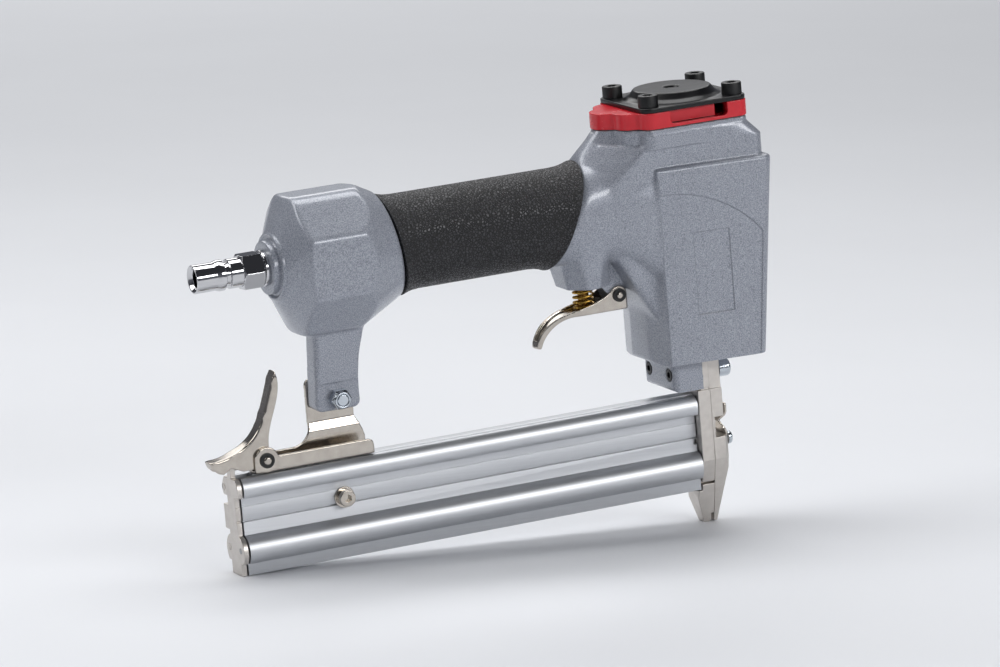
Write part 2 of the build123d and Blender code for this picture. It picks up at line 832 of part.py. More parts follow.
def grip_sleeve():
    tube = handle_outline(0) - handle_outline(grip_wall - slip)
    body = bar(tube, barrel_rear_x, neck_head_x)
    body = split(body, slant(grip_rear_top_x, grip_rear_bottom_x), keep=Keep.TOP)
    front_cut = slant(grip_front_top_x - grip_end_gap, grip_front_bottom_x - grip_end_gap)
    return split(body, front_cut, keep=Keep.BOTTOM)


def air_plug():
    shoulder = inlet_boss_x
    hex_front = shoulder - plug_flange_length
    hex_rear = hex_front - plug_hex_length
    collar = hex_rear - plug_collar_length
    groove = collar - plug_groove_length
    bead = groove - plug_bead_length
    tip = bead - plug_nose_length
    thread_end = shoulder + inlet_thread_depth - inlet_thread_gap
    bore = plug_bore_radius
    round_part = turned(
        (0, 0, barrel_z), (1, 0, 0),
        (tip + plug_mouth_depth, bore), (tip, plug_mouth_radius), (tip, plug_nose_radius),
        (bead, plug_nose_radius),
        (bead + plug_bead_taper, plug_bead_radius), (groove, plug_bead_radius),
        (groove, plug_groove_radius), (collar, plug_groove_radius),
        (collar, plug_collar_radius), (hex_front, plug_collar_radius), (hex_front, plug_flange_radius),
        (shoulder, plug_flange_radius), (shoulder, inlet_thread_radius - slip),
        (thread_end, inlet_thread_radius - slip), (thread_end, bore),
    )
    six = Pos(0, barrel_z) * (RegularPolygon(plug_hex_width / 2, 6, major_radius=False) - Circle(bore))
    return round_part + bar(six, hex_rear, hex_front)


# Cylinder, piston and driver

def cylinder_sleeve():
    seal_low = cylinder_seal_z - cylinder_seal_radius
    seal_high = cylinder_seal_z + cylinder_seal_radius
    groove = cylinder_outer_radius - cylinder_groove_depth
    return turned(
        (0, 0, 0), (0, 0, 1),
        (cylinder_base_z, cylinder_bore_radius), (cylinder_base_z, cylinder_outer_radius),
        (seal_low, cylinder_outer_radius), (seal_low, groove), (seal_high, groove),
        (seal_high, cylinder_outer_radius), (cylinder_top_z, cylinder_outer_radius),
        (cylinder_top_z, cylinder_bore_radius),
    )


def cylinder_seal():
    inner = cylinder_outer_radius - cylinder_groove_depth + slip
    return turned(
        (0, 0, 0), (0, 0, 1),
        (cylinder_seal_z - cylinder_seal_radius + slip, inner),
        (cylinder_seal_z - cylinder_seal_radius + slip, seat_radius - slip),
        (cylinder_seal_z + cylinder_seal_radius - slip, seat_radius - slip),
        (cylinder_seal_z + cylinder_seal_radius - slip, inner),
    )


def piston():
    outer = cylinder_bore_radius - piston_clearance
    ring_z = piston_bottom_z + piston_height / 2
    groove = outer - 2 * piston_ring_radius
    stem_end = piston_bottom_z - stem_length
    form = turned(
        (0, 0, 0), (0, 0, 1),
        (stem_end, 0), (stem_end, stem_radius), (piston_bottom_z, stem_radius), (piston_bottom_z, outer),
        (ring_z - piston_ring_radius, outer), (ring_z - piston_ring_radius, groove),
        (ring_z + piston_ring_radius, groove), (ring_z + piston_ring_radius, outer),
        (piston_top_z, outer), (piston_top_z, 0),
    )
    slot_x = driver_thickness / 2 + slip
    slot_y = driver_width / 2 + slip
    return form - block(-slot_x, slot_x, -slot_y, slot_y, stem_end, piston_bottom_z)


def piston_ring():
    outer = cylinder_bore_radius - piston_clearance + piston_ring_squeeze
    inner = cylinder_bore_radius - piston_clearance - 2 * piston_ring_radius + slip
    ring_z = piston_bottom_z + piston_height / 2
    low = ring_z - piston_ring_radius + slip
    high = ring_z + piston_ring_radius - slip
    return turned((0, 0, 0), (0, 0, 1), (low, inner), (low, outer), (high, outer), (high, inner))


def driver_blade():
    return block(-driver_thickness / 2, driver_thickness / 2, -driver_width / 2, driver_width / 2,
                 driver_rest_z, piston_bottom_z - slip)


def bumper():
    outer = cylinder_bore_radius - slip
    return turned(
        (0, 0, 0), (0, 0, 1),
        (cylinder_base_z, bumper_hole_radius), (cylinder_base_z, outer),
        (bumper_top_z - bumper_chamfer, outer), (bumper_top_z, outer - bumper_chamfer),
        (bumper_top_z, bumper_hole_radius),
    )


# Head valve, cap and top plate

def head_valve():
    low = cylinder_top_z + valve_seat_gap
    high = low + valve_ring_height
    outer = chamber_radius - valve_ring_clearance
    inner = exhaust_tube_outer_radius + valve_ring_clearance
    pocket = valve_spring_radius + 2 * valve_spring_wire + valve_pocket_room
    pocket_floor = high - valve_pocket_depth
    return turned(
        (0, 0, 0), (0, 0, 1),
        (low, inner), (low, outer), (high, outer), (high, pocket), (pocket_floor, pocket),
        (pocket_floor, inner),
    )


def head_valve_spring():
    pocket_floor = cylinder_top_z + valve_seat_gap + valve_ring_height - valve_pocket_depth
    low = pocket_floor + valve_spring_wire + slip
    high = cap_base_z - valve_spring_wire - slip
    return coil((0, 0, low), (0, 0, 1), valve_spring_radius, valve_spring_wire, valve_spring_turns,
                high - low)


def cap_gasket():
    sheet = cap_outline(gasket_inset) - Circle(chamber_radius)
    for x, y in cap_screw_places():
        sheet -= Pos(x, y) * Circle(m5_radius + bolt_clearance)
    return layer(sheet, head_top_z, cap_base_z)


def cylinder_cap():
    form = layer(cap_outline(0), cap_base_z, cap_top_z)
    hollow = layer(cap_outline(cap_wall), cap_base_z + cap_floor, cap_top_z)
    hollow -= block(cap_rear_x, cap_shoulder_x + cap_wall, -cap_half_width, cap_half_width,
                    cap_base_z, cap_top_z)
    for x, y in cap_screw_places():
        hollow -= rod(m5_head_radius, (x, y, cap_base_z), (x, y, cap_top_z))
    form -= hollow
    form += rod(exhaust_tube_outer_radius, (0, 0, exhaust_tube_end_z), (0, 0, cap_base_z + cap_floor))
    form -= rod(exhaust_tube_bore_radius, (0, 0, exhaust_tube_end_z), (0, 0, cap_base_z + cap_floor))
    middle = (exhaust_low_x + exhaust_high_x) / 2
    window = Pos(middle, cap_top_z) * RectangleRounded(
        exhaust_high_x - exhaust_low_x, 2 * exhaust_depth, exhaust_corner_radius)
    form -= plate(window, -cap_half_width, -cap_half_width + cap_wall)
    form += block(exhaust_low_x, exhaust_high_x - baffle_gap, baffle_y - baffle_thickness, baffle_y,
                  cap_base_z + cap_floor, cap_top_z)
    for x, y in cap_screw_places():
        form -= rod(m5_radius + bolt_clearance, (x, y, cap_base_z), (x, y, cap_top_z))
    return form


def top_plate():
    length, width = cap_length - 2 * plate_inset, 2 * (cap_half_width - plate_inset)
    sheet = Pos(cap_centre_x, 0) * RectangleRounded(length, width, cap_corner_radius - plate_inset)
    for x, y in cap_screw_places():
        sheet -= Pos(x, y) * Circle(m5_radius + bolt_clearance)
    form = layer(sheet, cap_top_z, plate_top_z)
    crown = plate_top_z + dome_height
    floor = crown - dimple_depth
    middle = (cap_centre_x, 0, 0)
    dome = turned(
        middle, (0, 0, 1),
        (plate_top_z, 0), (plate_top_z, dome_base_radius),
        (plate_top_z + dome_shoulder_height, dome_shoulder_radius), (crown, dome_top_radius),
        (crown, dimple_radius), (floor, dimple_radius - dimple_depth / 2), (floor, 0),
    )
    roof = floor - plate_thickness
    hollow = turned(
        middle, (0, 0, 1),
        (cap_top_z, 0), (cap_top_z, dome_base_radius - plate_thickness),
        (roof, dome_top_radius - plate_thickness), (roof, 0),
    )
    return form + dome - hollow


def cap_screws():
    length = plate_thickness + cap_height + gasket_thickness + cap_screw_depth - screw_end_gap
    return [screw((x, y, plate_top_z), (0, 0, 1), m5_radius, length, m5_head_radius, m5_head_height,
                  m5_top_radius) for x, y in cap_screw_places()]


# Trigger group

def trigger_web(lift):
    """The finger face, or the face above it by the lift: a straight run that curls down to the tip."""
    front = (trigger_pin_x + trigger_ear_radius, trigger_face_z + lift)
    bend = (trigger_pin_x - trigger_straight, trigger_face_z + lift)
    radius = trigger_curl_radius + lift
    curl = math.radians(trigger_curl_angle)
    half = curl / 2
    centre = (bend[0], bend[1] - radius)
    middle = (centre[0] - radius * math.sin(half), centre[1] + radius * math.cos(half))
    tip = (centre[0] - radius * math.sin(curl), centre[1] + radius * math.cos(curl))
    return front, bend, middle, tip


def trigger_plan(inset):
    """The trigger seen from above: parallel sides that narrow to the tip."""
    wide, narrow = trigger_half_width - inset, trigger_tip_half_width - inset
    front = trigger_pin_x + 2 * trigger_ear_radius
    bend = trigger_pin_x - trigger_taper_start
    tip = trigger_web(trigger_tip_height)[3][0] - trigger_wall
    plan = polygon((front, -wide), (bend, -wide), (tip, -narrow), (tip, narrow), (bend, wide), (front, wide))
    return layer(plan, 0, head_top_z)


def trigger():
    front, bend, middle, tip = trigger_web(0)
    edge = trigger_web(trigger_tip_height)[3]
    ear_top = (trigger_pin_x - trigger_ear_radius * 0.6, trigger_pin_z + trigger_ear_radius * 0.8)
    cheek = Spline(edge, (trigger_pin_x - trigger_cheek_low, trigger_face_z + trigger_cheek_low_rise),
                   (trigger_pin_x - trigger_cheek_high, trigger_face_z + trigger_cheek_high_rise), ear_top)
    outline = make_face([
        Line(front, bend), ThreePointArc(bend, middle, tip), Line(tip, edge), cheek,
        Polyline(ear_top, (trigger_pin_x + trigger_ear_radius, trigger_pin_z), front),
    ])
    outline += Pos(trigger_pin_x, trigger_pin_z) * Circle(trigger_ear_radius)
    form = plate(outline, -trigger_half_width, trigger_half_width) & trigger_plan(0)
    front, bend, middle, tip = trigger_web(trigger_wall)
    above = trigger_pin_z + 3 * trigger_ear_radius
    channel = make_face([
        Line(front, bend), ThreePointArc(bend, middle, tip),
        Polyline(tip, (tip[0], above), (front[0], above), front),
    ])
    inside = trigger_half_width - trigger_wall
    form -= plate(channel, -inside, inside) & trigger_plan(trigger_wall)
    reach = 2 * trigger_half_width
    return form - rod(trigger_pin_radius + trigger_clearance, (trigger_pin_x, -reach, trigger_pin_z),
                      (trigger_pin_x, reach, trigger_pin_z))


def trigger_pin():
    return cross_pin(trigger_pin_x, trigger_pin_z, trigger_pin_radius, trigger_half_width + trigger_clearance)


def trigger_clips():
    outside = trigger_half_width + trigger_clearance
    return retaining_clips(trigger_pin_x, trigger_pin_z, trigger_pin_radius, outside)


def trigger_spring():
    low = trigger_face_z + trigger_wall + trigger_spring_wire + 2 * slip
    high = boss_bottom_z - trigger_spring_wire - slip
    return coil((valve_x, 0, low), (0, 0, 1), trigger_spring_radius, trigger_spring_wire,
                trigger_spring_turns, high - low)


def valve_bushing():
    low = boss_bottom_z
    high = low + bushing_height
    pocket = low + valve_seat_height
    guide = valve_stem_radius + valve_stem_clearance
    seal = valve_stem_radius + 2 * valve_seal_radius
    chamber = valve_head_radius + valve_chamber_room
    return turned(
        (valve_x, 0, 0), (0, 0, 1),
        (low, guide), (low, bushing_radius), (high, bushing_radius), (high, chamber),
        (pocket + 2 * valve_seal_radius, chamber), (pocket + 2 * valve_seal_radius, seal), (pocket, seal),
        (pocket, guide),
    )


def valve_seal():
    low = boss_bottom_z + valve_seat_height + slip
    high = low + 2 * valve_seal_radius - 2 * slip
    inner = valve_stem_radius + valve_stem_clearance
    outer = valve_stem_radius + 2 * valve_seal_radius - slip
    return turned((valve_x, 0, 0), (0, 0, 1), (low, inner), (low, outer), (high, outer), (high, inner))


def valve_stem():
    foot = trigger_face_z + trigger_wall + valve_gap
    under = valve_stem_top_z - valve_head_height
    return turned(
        (valve_x, 0, 0), (0, 0, 1),
        (foot, 0), (foot, valve_stem_radius - valve_stem_chamfer),
        (foot + valve_stem_chamfer, valve_stem_radius), (under, valve_stem_radius),
        (under, valve_head_radius), (valve_stem_top_z, valve_head_radius), (valve_stem_top_z, 0),
    )


# Nose

def driver_channel(z_low, z_high):
    half_x = driver_thickness / 2 + driver_clearance
    half_y = driver_width / 2 + driver_clearance
    return block(-half_x, half_x, -half_y, half_y, z_low, z_high)


def tip_notch():
    return block(-tip_notch_width / 2, nose_seam_x, -nose_half_width, nose_half_width, 0, tip_notch_height)


def nose_front_view():
    upper, lower = nose_upper_half_width, nose_half_width
    return polygon(
        (-upper, nose_top_z), (-upper, nose_step_z), (-lower, nose_step_z), (-lower, nose_crease_z),
        (-tip_half_width, 0), (tip_half_width, 0), (lower, nose_crease_z), (lower, nose_step_z),
        (upper, nose_step_z), (upper, nose_top_z),
    )


def nose_rear_plate():
    side = polygon(
        (nose_seam_x, 0), (tip_rear_x, 0), (tip_heel_x, tip_heel_z), (nose_rear_x, tip_heel_z),
        (nose_rear_x, nose_step_z), (nose_upper_rear_x, nose_step_z), (nose_upper_rear_x, nose_top_z),
        (nose_seam_x, nose_top_z),
    )
    form = plate(side, -nose_half_width, nose_half_width) & bar(nose_front_view(), tip_heel_x, nose_seam_x)
    prow = polygon(
        (nose_seam_x, -nose_half_width), (tip_shoulder_x, -nose_half_width),
        (tip_shoulder_x, -tip_shoulder_half_width), (tip_heel_x, -tip_heel_half_width),
        (tip_heel_x, tip_heel_half_width), (tip_shoulder_x, tip_shoulder_half_width),
        (tip_shoulder_x, nose_half_width), (nose_seam_x, nose_half_width),
    )
    form = form & layer(prow, 0, nose_top_z)
    form += block(nose_block_front_x, nose_ear_front_x, -nose_ear_half_width, nose_ear_half_width,
                  nose_ear_low_z, nose_top_z)
    for low in (-nose_half_width, nose_slit_core):
        form -= block(tip_heel_x, nose_seam_x, low, low + nose_half_width - nose_slit_core,
                      nose_slit_z, nose_slit_z + nose_slit_height)
    form -= driver_channel(0, nose_top_z)
    form -= block(nose_rear_x, 0, -track_half_width, track_half_width, magazine_bottom_z + cover_floor,
                  rail_flange_low_z)
    form -= tip_notch()
    for y in (-nose_screw_y, nose_screw_y):
        form -= rod(m4_radius + slip, (nose_block_front_x, y, nose_screw_z), (nose_seam_x, y, nose_screw_z))
    for y in (-nose_block_screw_y, nose_block_screw_y):
        form -= rod(m3_radius + slip, (nose_block_front_x, y, nose_block_screw_z),
                    (nose_ear_front_x, y, nose_block_screw_z))
    return form


def nose_front_plate():
    side = polygon(
        (nose_seam_x, 0), (tip_front_x, 0), (nose_lower_front_x, nose_crease_z),
        (nose_lower_front_x, nose_window_low_z), (nose_window_x, nose_window_low_z),
        (nose_window_x, nose_window_high_z),
        (nose_front_x, nose_window_high_z), (nose_front_x, nose_top_z), (nose_seam_x, nose_top_z),
    )
    view = bar(nose_front_view(), nose_seam_x, nose_lower_front_x)
    form = plate(side, -nose_half_width, nose_half_width) & view
    front = form.edges().filter_by(Axis.Z).filter_by(lambda e: e.center().X > nose_lower_front_x - 0.1)
    form = chamfer(front, nose_chamfer)
    for y in (-nose_screw_y, nose_screw_y):
        form -= rod(m4_radius + slip, (nose_seam_x, y, nose_screw_z), (nose_front_x, y, nose_screw_z))
    for y in (-clip_screw_y, clip_screw_y):
        form -= rod(m3_radius + slip, (nose_seam_x, y, clip_screw_z), (nose_lower_front_x, y, clip_screw_z))
    return form


def nose_clip():
    """A bent leaf: a finger tab, a fold into the window and a foot on the front of the plate."""
    bends = [
        (clip_tab_x, clip_tab_z), (clip_tab_x, clip_shoulder_z), (clip_fold_x, clip_fold_z),
        (nose_lower_front_x, nose_window_low_z + clip_leaf), (nose_lower_front_x, clip_foot_low_z),
    ]
    outer = [(x + clip_leaf, z) for x, z in reversed(bends)]
    form = plate(polygon(*bends, *outer), -clip_width / 2, clip_width / 2)
    reach = 2 * nose_lower_front_x
    for y in (-clip_screw_y, clip_screw_y):
        form -= rod(m3_radius + slip, (0, y, clip_screw_z), (reach, y, clip_screw_z))
    return form


def nose_cover_screws():
    length = nose_front_x - nose_block_front_x
    return [screw((nose_front_x, y, nose_screw_z), (1, 0, 0), m4_radius, length, m4_pan_radius, m4_pan_height,
                  m4_pan_top) for y in (-nose_screw_y, nose_screw_y)]


def clip_screws():
    seat = nose_lower_front_x + clip_leaf
    length = seat - nose_seam_x
    return [screw((seat, y, clip_screw_z), (1, 0, 0), m3_radius, length, m3_pan_radius, m3_pan_height,
                  m3_pan_top) for y in (-clip_screw_y, clip_screw_y)]


def nose_block_screws():
    x = nose_block_rear_x + m3_head_height
    length = nose_ear_front_x - x
    return [screw((x, y, nose_block_screw_z), (-1, 0, 0), m3_radius, length, m3_head_radius, m3_head_height,
                  m3_top_radius) for y in (-nose_block_screw_y, nose_block_screw_y)]


# Magazine

def magazine_outline():
    """The outside of the extrusion, drawn in Y and Z."""
    shelf = strip_half_width + lower_rib_shelf
    groove_low = groove_z - groove_height / 2
    groove_high = groove_z + groove_height / 2
    groove_floor = waist_half_width - groove_depth
    rib_foot = upper_rib_half_width - upper_rib_edge
    rib_top = rail_flange_half_width + upper_rib_edge
    half = make_face([
        Polyline((0, magazine_bottom_z), (strip_half_width, magazine_bottom_z),
                 (strip_half_width, strip_top_z), (shelf, strip_top_z)),
        ThreePointArc((shelf, strip_top_z), (lower_rib_half_width, lower_rib_z),
                      (waist_half_width, lower_rib_top_z)),
        Polyline((waist_half_width, lower_rib_top_z), (waist_half_width, groove_low),
                 (groove_floor, groove_low), (groove_floor, groove_high),
                 (waist_upper_half_width, groove_high), (waist_upper_half_width, step_z),
                 (neck_wall_half_width, step_z), (neck_wall_half_width, upper_rib_bottom_z),
                 (rib_foot, upper_rib_bottom_z)),
        ThreePointArc((rib_foot, upper_rib_bottom_z), (upper_rib_half_width, upper_rib_z),
                      (rib_top, magazine_top_z)),
        Polyline((rib_top, magazine_top_z), (0, magazine_top_z), (0, magazine_bottom_z)),
    ])
    return half + mirror(half, Plane.YZ)


def span(y_low, y_high, z_low, z_high):
    """A rectangle in Y and Z."""
    return Pos((y_low + y_high) / 2, (z_low + z_high) / 2) * Rectangle(y_high - y_low, z_high - z_low)


def magazine_cover():
    flange_top = magazine_top_z - lip_thickness
    flange_low = rail_flange_low_z - rail_gap
    section = magazine_outline()
    lip = rail_neck_half_width + rail_gap
    section -= span(-lip, lip, flange_top, rail_top_z)
    flange = rail_flange_half_width + rail_gap
    section -= span(-flange, flange, flange_low, flange_top)
    section -= span(-track_half_width, rail_wall_outer_y + rail_gap, magazine_bottom_z + cover_floor,
                    flange_low)
    section -= Pos(rod_y, rod_z) * Circle(rod_bore_radius)
    section -= span(rod_y, 0, rod_z - rod_slot_half_height, rod_z + rod_slot_half_height)
    section -= Pos(screw_port_y, rod_z) * Circle(tail_screw_radius + slip)
    section -= Pos(upper_port_y, upper_port_z) * Circle(tail_screw_radius + slip)
    form = bar(section, magazine_rear_x, magazine_front_x)
    form -= rod(m4_radius + slip, (side_screw_x, -waist_half_width, side_screw_z),
                (side_screw_x, 0, side_screw_z))
    form -= rod(washer_radius + bolt_clearance, (side_screw_x, -waist_half_width, side_screw_z),
                (side_screw_x, -waist_upper_half_width, side_screw_z))
    return form - rod(front_hole_radius, (front_hole_x, -waist_half_width, front_hole_z),
                      (front_hole_x, 0, front_hole_z))


def magazine_rail():
    flange_top = magazine_top_z - lip_thickness - rail_gap
    section = span(-rail_neck_half_width, rail_neck_half_width, flange_top, rail_top_z)
    section += span(-rail_flange_half_width, rail_flange_half_width, rail_flange_low_z, flange_top)
    section += span(track_half_width, rail_wall_outer_y, magazine_bottom_z + cover_floor + rail_gap,
                    rail_flange_low_z)
    form = bar(section, bracket_rear_x, nose_rear_x)
    for x in bracket_screw_xs:
        form -= rod(m3_radius + slip, (x, 0, flange_top), (x, 0, rail_top_z))
    return form


def tail_plate():
    outline = magazine_outline()
    outline += span(0, tail_ear_half_width, tail_ear_low_z, tail_ear_high_z)
    outline += span(-tail_hook_half_width, tail_hook_half_width, step_z, tail_hook_top_z)
    form = bar(outline, tail_rear_x, tail_front_x)
    form += block(tail_front_x, tail_rear_x + tail_hook_reach, -tail_hook_half_width, tail_hook_half_width,
                  tail_hook_top_z - tail_hook_thickness, tail_hook_top_z)
    for y, z in tail_screw_places():
        form += rod(tail_post_radius, (tail_front_x, y, z), (magazine_rear_x, y, z))
        form -= rod(tail_screw_radius + slip, (tail_rear_x, y, z), (magazine_rear_x, y, z))
        form -= countersink(y, z, slip)
    return form - rod(rod_radius + slip, (tail_rear_x, rod_y, rod_z), (magazine_rear_x, rod_y, rod_z))


def countersink(y, z, room):
    """The cone of a countersunk head let into the tail plate."""
    depth = tail_screw_head_radius - tail_screw_radius
    return turned(
        (tail_rear_x, y, z), (1, 0, 0),
        (0, 0), (0, tail_screw_head_radius + room), (depth, tail_screw_radius + room), (depth, 0),
    )


def tail_screw_places():
    return [(screw_port_y, rod_z), (upper_port_y, upper_port_z)]


def tail_screws():
    return [rod(tail_screw_radius, (tail_rear_x, y, z), (tail_rear_x + tail_screw_length, y, z))
            + countersink(y, z, 0) for y, z in tail_screw_places()]


def side_screw():
    seat = -waist_upper_half_width - washer_thickness
    return screw((side_screw_x, seat, side_screw_z), (0, -1, 0), m4_radius,
                 -seat - track_half_width - side_screw_end_gap, m4_head_radius, m4_head_height, m4_top_radius)


def side_washer():
    hoop = Pos(side_screw_x, side_screw_z) * (Circle(washer_radius) - Circle(m4_radius + bolt_clearance))
    return plate(hoop, -waist_upper_half_width - washer_thickness, -waist_upper_half_width)


def spring_rod():
    return rod(rod_radius, (tail_rear_x, rod_y, rod_z), (rod_front_x, rod_y, rod_z))


def pusher():
    front = magazine_front_x - pusher_gap
    rear = front - pusher_length
    form = block(rear, front, -pusher_half_thickness, pusher_half_thickness,
                 magazine_bottom_z + cover_floor + rail_gap, pusher_high_z)
    slide_front = rear + pusher_slide_length
    form += block(rear, slide_front, rod_y, 0, rod_z - pusher_arm_half_height, rod_z + pusher_arm_half_height)
    form += rod(pusher_slide_radius, (rear, rod_y, rod_z), (slide_front, rod_y, rod_z))
    return form - rod(rod_radius + pusher_clearance, (rear, rod_y, rod_z), (slide_front, rod_y, rod_z))


def pusher_spring():
    front = magazine_front_x - pusher_gap - pusher_length - pusher_spring_wire - slip
    rear = magazine_rear_x + pusher_spring_wire + slip
    return coil((rear, rod_y, rod_z), (1, 0, 0), pusher_spring_radius, pusher_spring_wire,
                pusher_spring_turns, front - rear)


# Bracket and latch

def bracket():
    floor_top = rail_top_z + bracket_thickness
    eye = Pos(latch_pin_x, latch_pin_z) * Circle(bracket_eye_radius)
    eye_rear = latch_pin_x - bracket_eye_radius
    low = polygon((eye_rear, rail_top_z), (bracket_front_x, rail_top_z), (bracket_front_x, bracket_cheek_z),
                  (latch_pin_x, bracket_cheek_z), (eye_rear, latch_pin_z))
    corner = low.vertices().sort_by_distance((bracket_front_x, bracket_cheek_z))[0]
    near = fillet(corner, bracket_corner_radius) + eye
    high = polygon((eye_rear, rail_top_z), (bracket_front_x, rail_top_z), (bracket_front_x, bracket_cheek_z),
                   (upright_front_x, joggle_high_z), (upright_front_x, upright_top_z),
                   (upright_rear_x, upright_top_z), (upright_rear_x, bracket_cheek_z),
                   (latch_pin_x, bracket_cheek_z), (eye_rear, latch_pin_z))
    inner_corner = high.vertices().sort_by_distance((upright_rear_x, bracket_cheek_z))[0]
    high = fillet(inner_corner, upright_fillet)
    top = high.vertices().filter_by(lambda v: abs(v.Y - upright_top_z) < 0.01)
    far = fillet(top, bracket_corner_radius) + eye
    outer, inner, sheet = bracket_half_width, bracket_inner_y, bracket_thickness
    fold = polygon(
        (inner, rail_top_z), (outer, rail_top_z), (outer, joggle_low_z),
        (upright_inner_y + sheet, joggle_high_z),
        (upright_inner_y + sheet, upright_top_z), (upright_inner_y, upright_top_z),
        (upright_inner_y, joggle_high_z), (inner, joggle_low_z),
    )
    form = block(eye_rear, bracket_front_x, -outer, outer, rail_top_z, floor_top)
    form += plate(near, -outer, -inner)
    form += plate(far, inner, upright_inner_y + sheet) & bar(fold, eye_rear, bracket_front_x)
    reach = 2 * outer
    form -= rod(latch_pin_radius + slip, (latch_pin_x, -reach, latch_pin_z),
                (latch_pin_x, reach, latch_pin_z))
    form -= rod(m5_radius + bolt_clearance, (leg_bolt_x, 0, leg_bolt_z), (leg_bolt_x, reach, leg_bolt_z))
    for x in bracket_screw_xs:
        form -= rod(m3_radius + slip, (x, 0, rail_top_z), (x, 0, floor_top))
    return form


def bracket_bolt():
    seat = upright_inner_y + bracket_thickness
    six = Pos(leg_bolt_x, leg_bolt_z) * RegularPolygon(m5_nut_width / 2, 6, major_radius=False)
    end = leg_face_half_width + m5_nut_height + m5_nut_collar_height
    return plate(six, seat, seat + m5_bolt_head_height) + rod(
        m5_radius, (leg_bolt_x, seat, leg_bolt_z), (leg_bolt_x, -end, leg_bolt_z))


def bracket_nut():
    place = Pos(leg_bolt_x, leg_bolt_z)
    six = place * (RegularPolygon(m5_nut_width / 2, 6, major_radius=False) - Circle(m5_radius + slip))
    collar = place * (Circle(m5_nut_collar_radius) - Circle(m5_radius + slip))
    shoulder = -leg_face_half_width - m5_nut_height
    form = plate(six, shoulder, -leg_face_half_width)
    return form + plate(collar, shoulder - m5_nut_collar_height, shoulder)


def bracket_screws():
    rail_head = rail_top_z - (magazine_top_z - lip_thickness - rail_gap)
    length = rail_head + bracket_thickness - bracket_screw_end_gap
    return [screw((x, 0, rail_top_z + bracket_thickness), (0, 0, 1), m3_radius, length, m3_pan_radius,
                  m3_pan_height, m3_pan_top) for x in bracket_screw_xs]


def from_latch_pin(*shares):
    """Places measured from the latch pin in shares of the lever's height."""
    return [(latch_pin_x + latch_height * x, latch_pin_z + latch_height * z) for x, z in shares]


def latch_lever():
    x, z, eye = latch_pin_x, latch_pin_z, latch_eye_radius
    back = Spline(*from_latch_pin(
        (0.212, 1), (0.047, 0.567), (-0.118, 0.281), (-0.289, 0.16), (-0.518, 0.083), (-0.678, 0.069)))
    top, tail = back @ 0, back @ 1
    eye_front = (x + eye, z)
    hook = from_latch_pin((-0.65, -0.011), (-0.584, -0.074), (-0.518, -0.088), (-0.419, -0.028))
    cheek = Polyline(tail, *hook, (x - latch_heel, z - eye), (x, z - eye), eye_front)
    front = Spline(eye_front, *from_latch_pin((0.061, 0.22), (0.118, 0.441), (0.229, 0.793)), top)
    outline = make_face([back, cheek, front])
    form = plate(outline, -latch_half_width, latch_half_width)
    low, ahead = z - 3 * eye, top.X + 3 * eye
    behind = Polyline(tail, (tail.X, low), (ahead, low), (ahead, top.Y), top)
    hollow = Pos(latch_wall, -latch_wall) * make_face([back, behind])
    inside = latch_half_width - latch_wall
    form -= plate(hollow, -inside, inside)
    reach = 2 * latch_half_width
    return form - rod(latch_pin_radius + latch_clearance, (x, -reach, z), (x, reach, z))


def latch_pin():
    return cross_pin(latch_pin_x, latch_pin_z, latch_pin_radius, bracket_half_width + slip)


def latch_clips():
    return retaining_clips(latch_pin_x, latch_pin_z, latch_pin_radius, bracket_half_width + slip)


def latch_spring():
    length = 2 * (latch_half_width - latch_wall) - 4 * latch_spring_wire
    return coil((latch_pin_x, -length / 2, latch_pin_z), (0, 1, 0), latch_spring_radius, latch_spring_wire,
                latch_spring_turns, length)


makers = [
    body_casting, grip_sleeve, air_plug, cylinder_sleeve, cylinder_seal, piston, piston_ring,
    driver_blade, bumper, head_valve, head_valve_spring, cap_gasket, cylinder_cap, top_plate,
    cap_screws, trigger, trigger_pin, trigger_clips, trigger_spring, valve_bushing, valve_seal,
    valve_stem, nose_rear_plate, nose_front_plate, nose_clip, nose_cover_screws, clip_screws,
    nose_block_screws, magazine_cover, magazine_rail, tail_plate, tail_screws, side_screw, side_washer,
    spring_rod, pusher, pusher_spring, bracket, bracket_bolt, bracket_nut, bracket_screws, latch_lever,
    latch_pin, latch_clips, latch_spring,
]

stance = Rot(0, -stance_angle, 0)
tipped = {}
for maker in makers:
    made = maker()
    solids = made if isinstance(made, list) else made.solids()
    tipped[maker.__name__] = stance * Compound(solids)

boxes = [shape.bounding_box() for shape in tipped.values()]
low = [min(getattr(box.min, axis) for box in boxes) for axis in "XYZ"]
high = [max(getattr(box.max, axis) for box in boxes) for axis in "XYZ"]
rest_place = Pos(-(low[0] + high[0]) / 2, -(low[1] + high[1]) / 2, -low[2])

os.makedirs("parts", exist_ok=True)
for name, shape in tipped.items():
    export_step(rest_place * shape, f"parts/{name}.step")
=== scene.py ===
import bmesh
import bpy
import json
import math
import numpy as np
from mathutils import Matrix, Vector
from mathutils.kdtree import KDTree

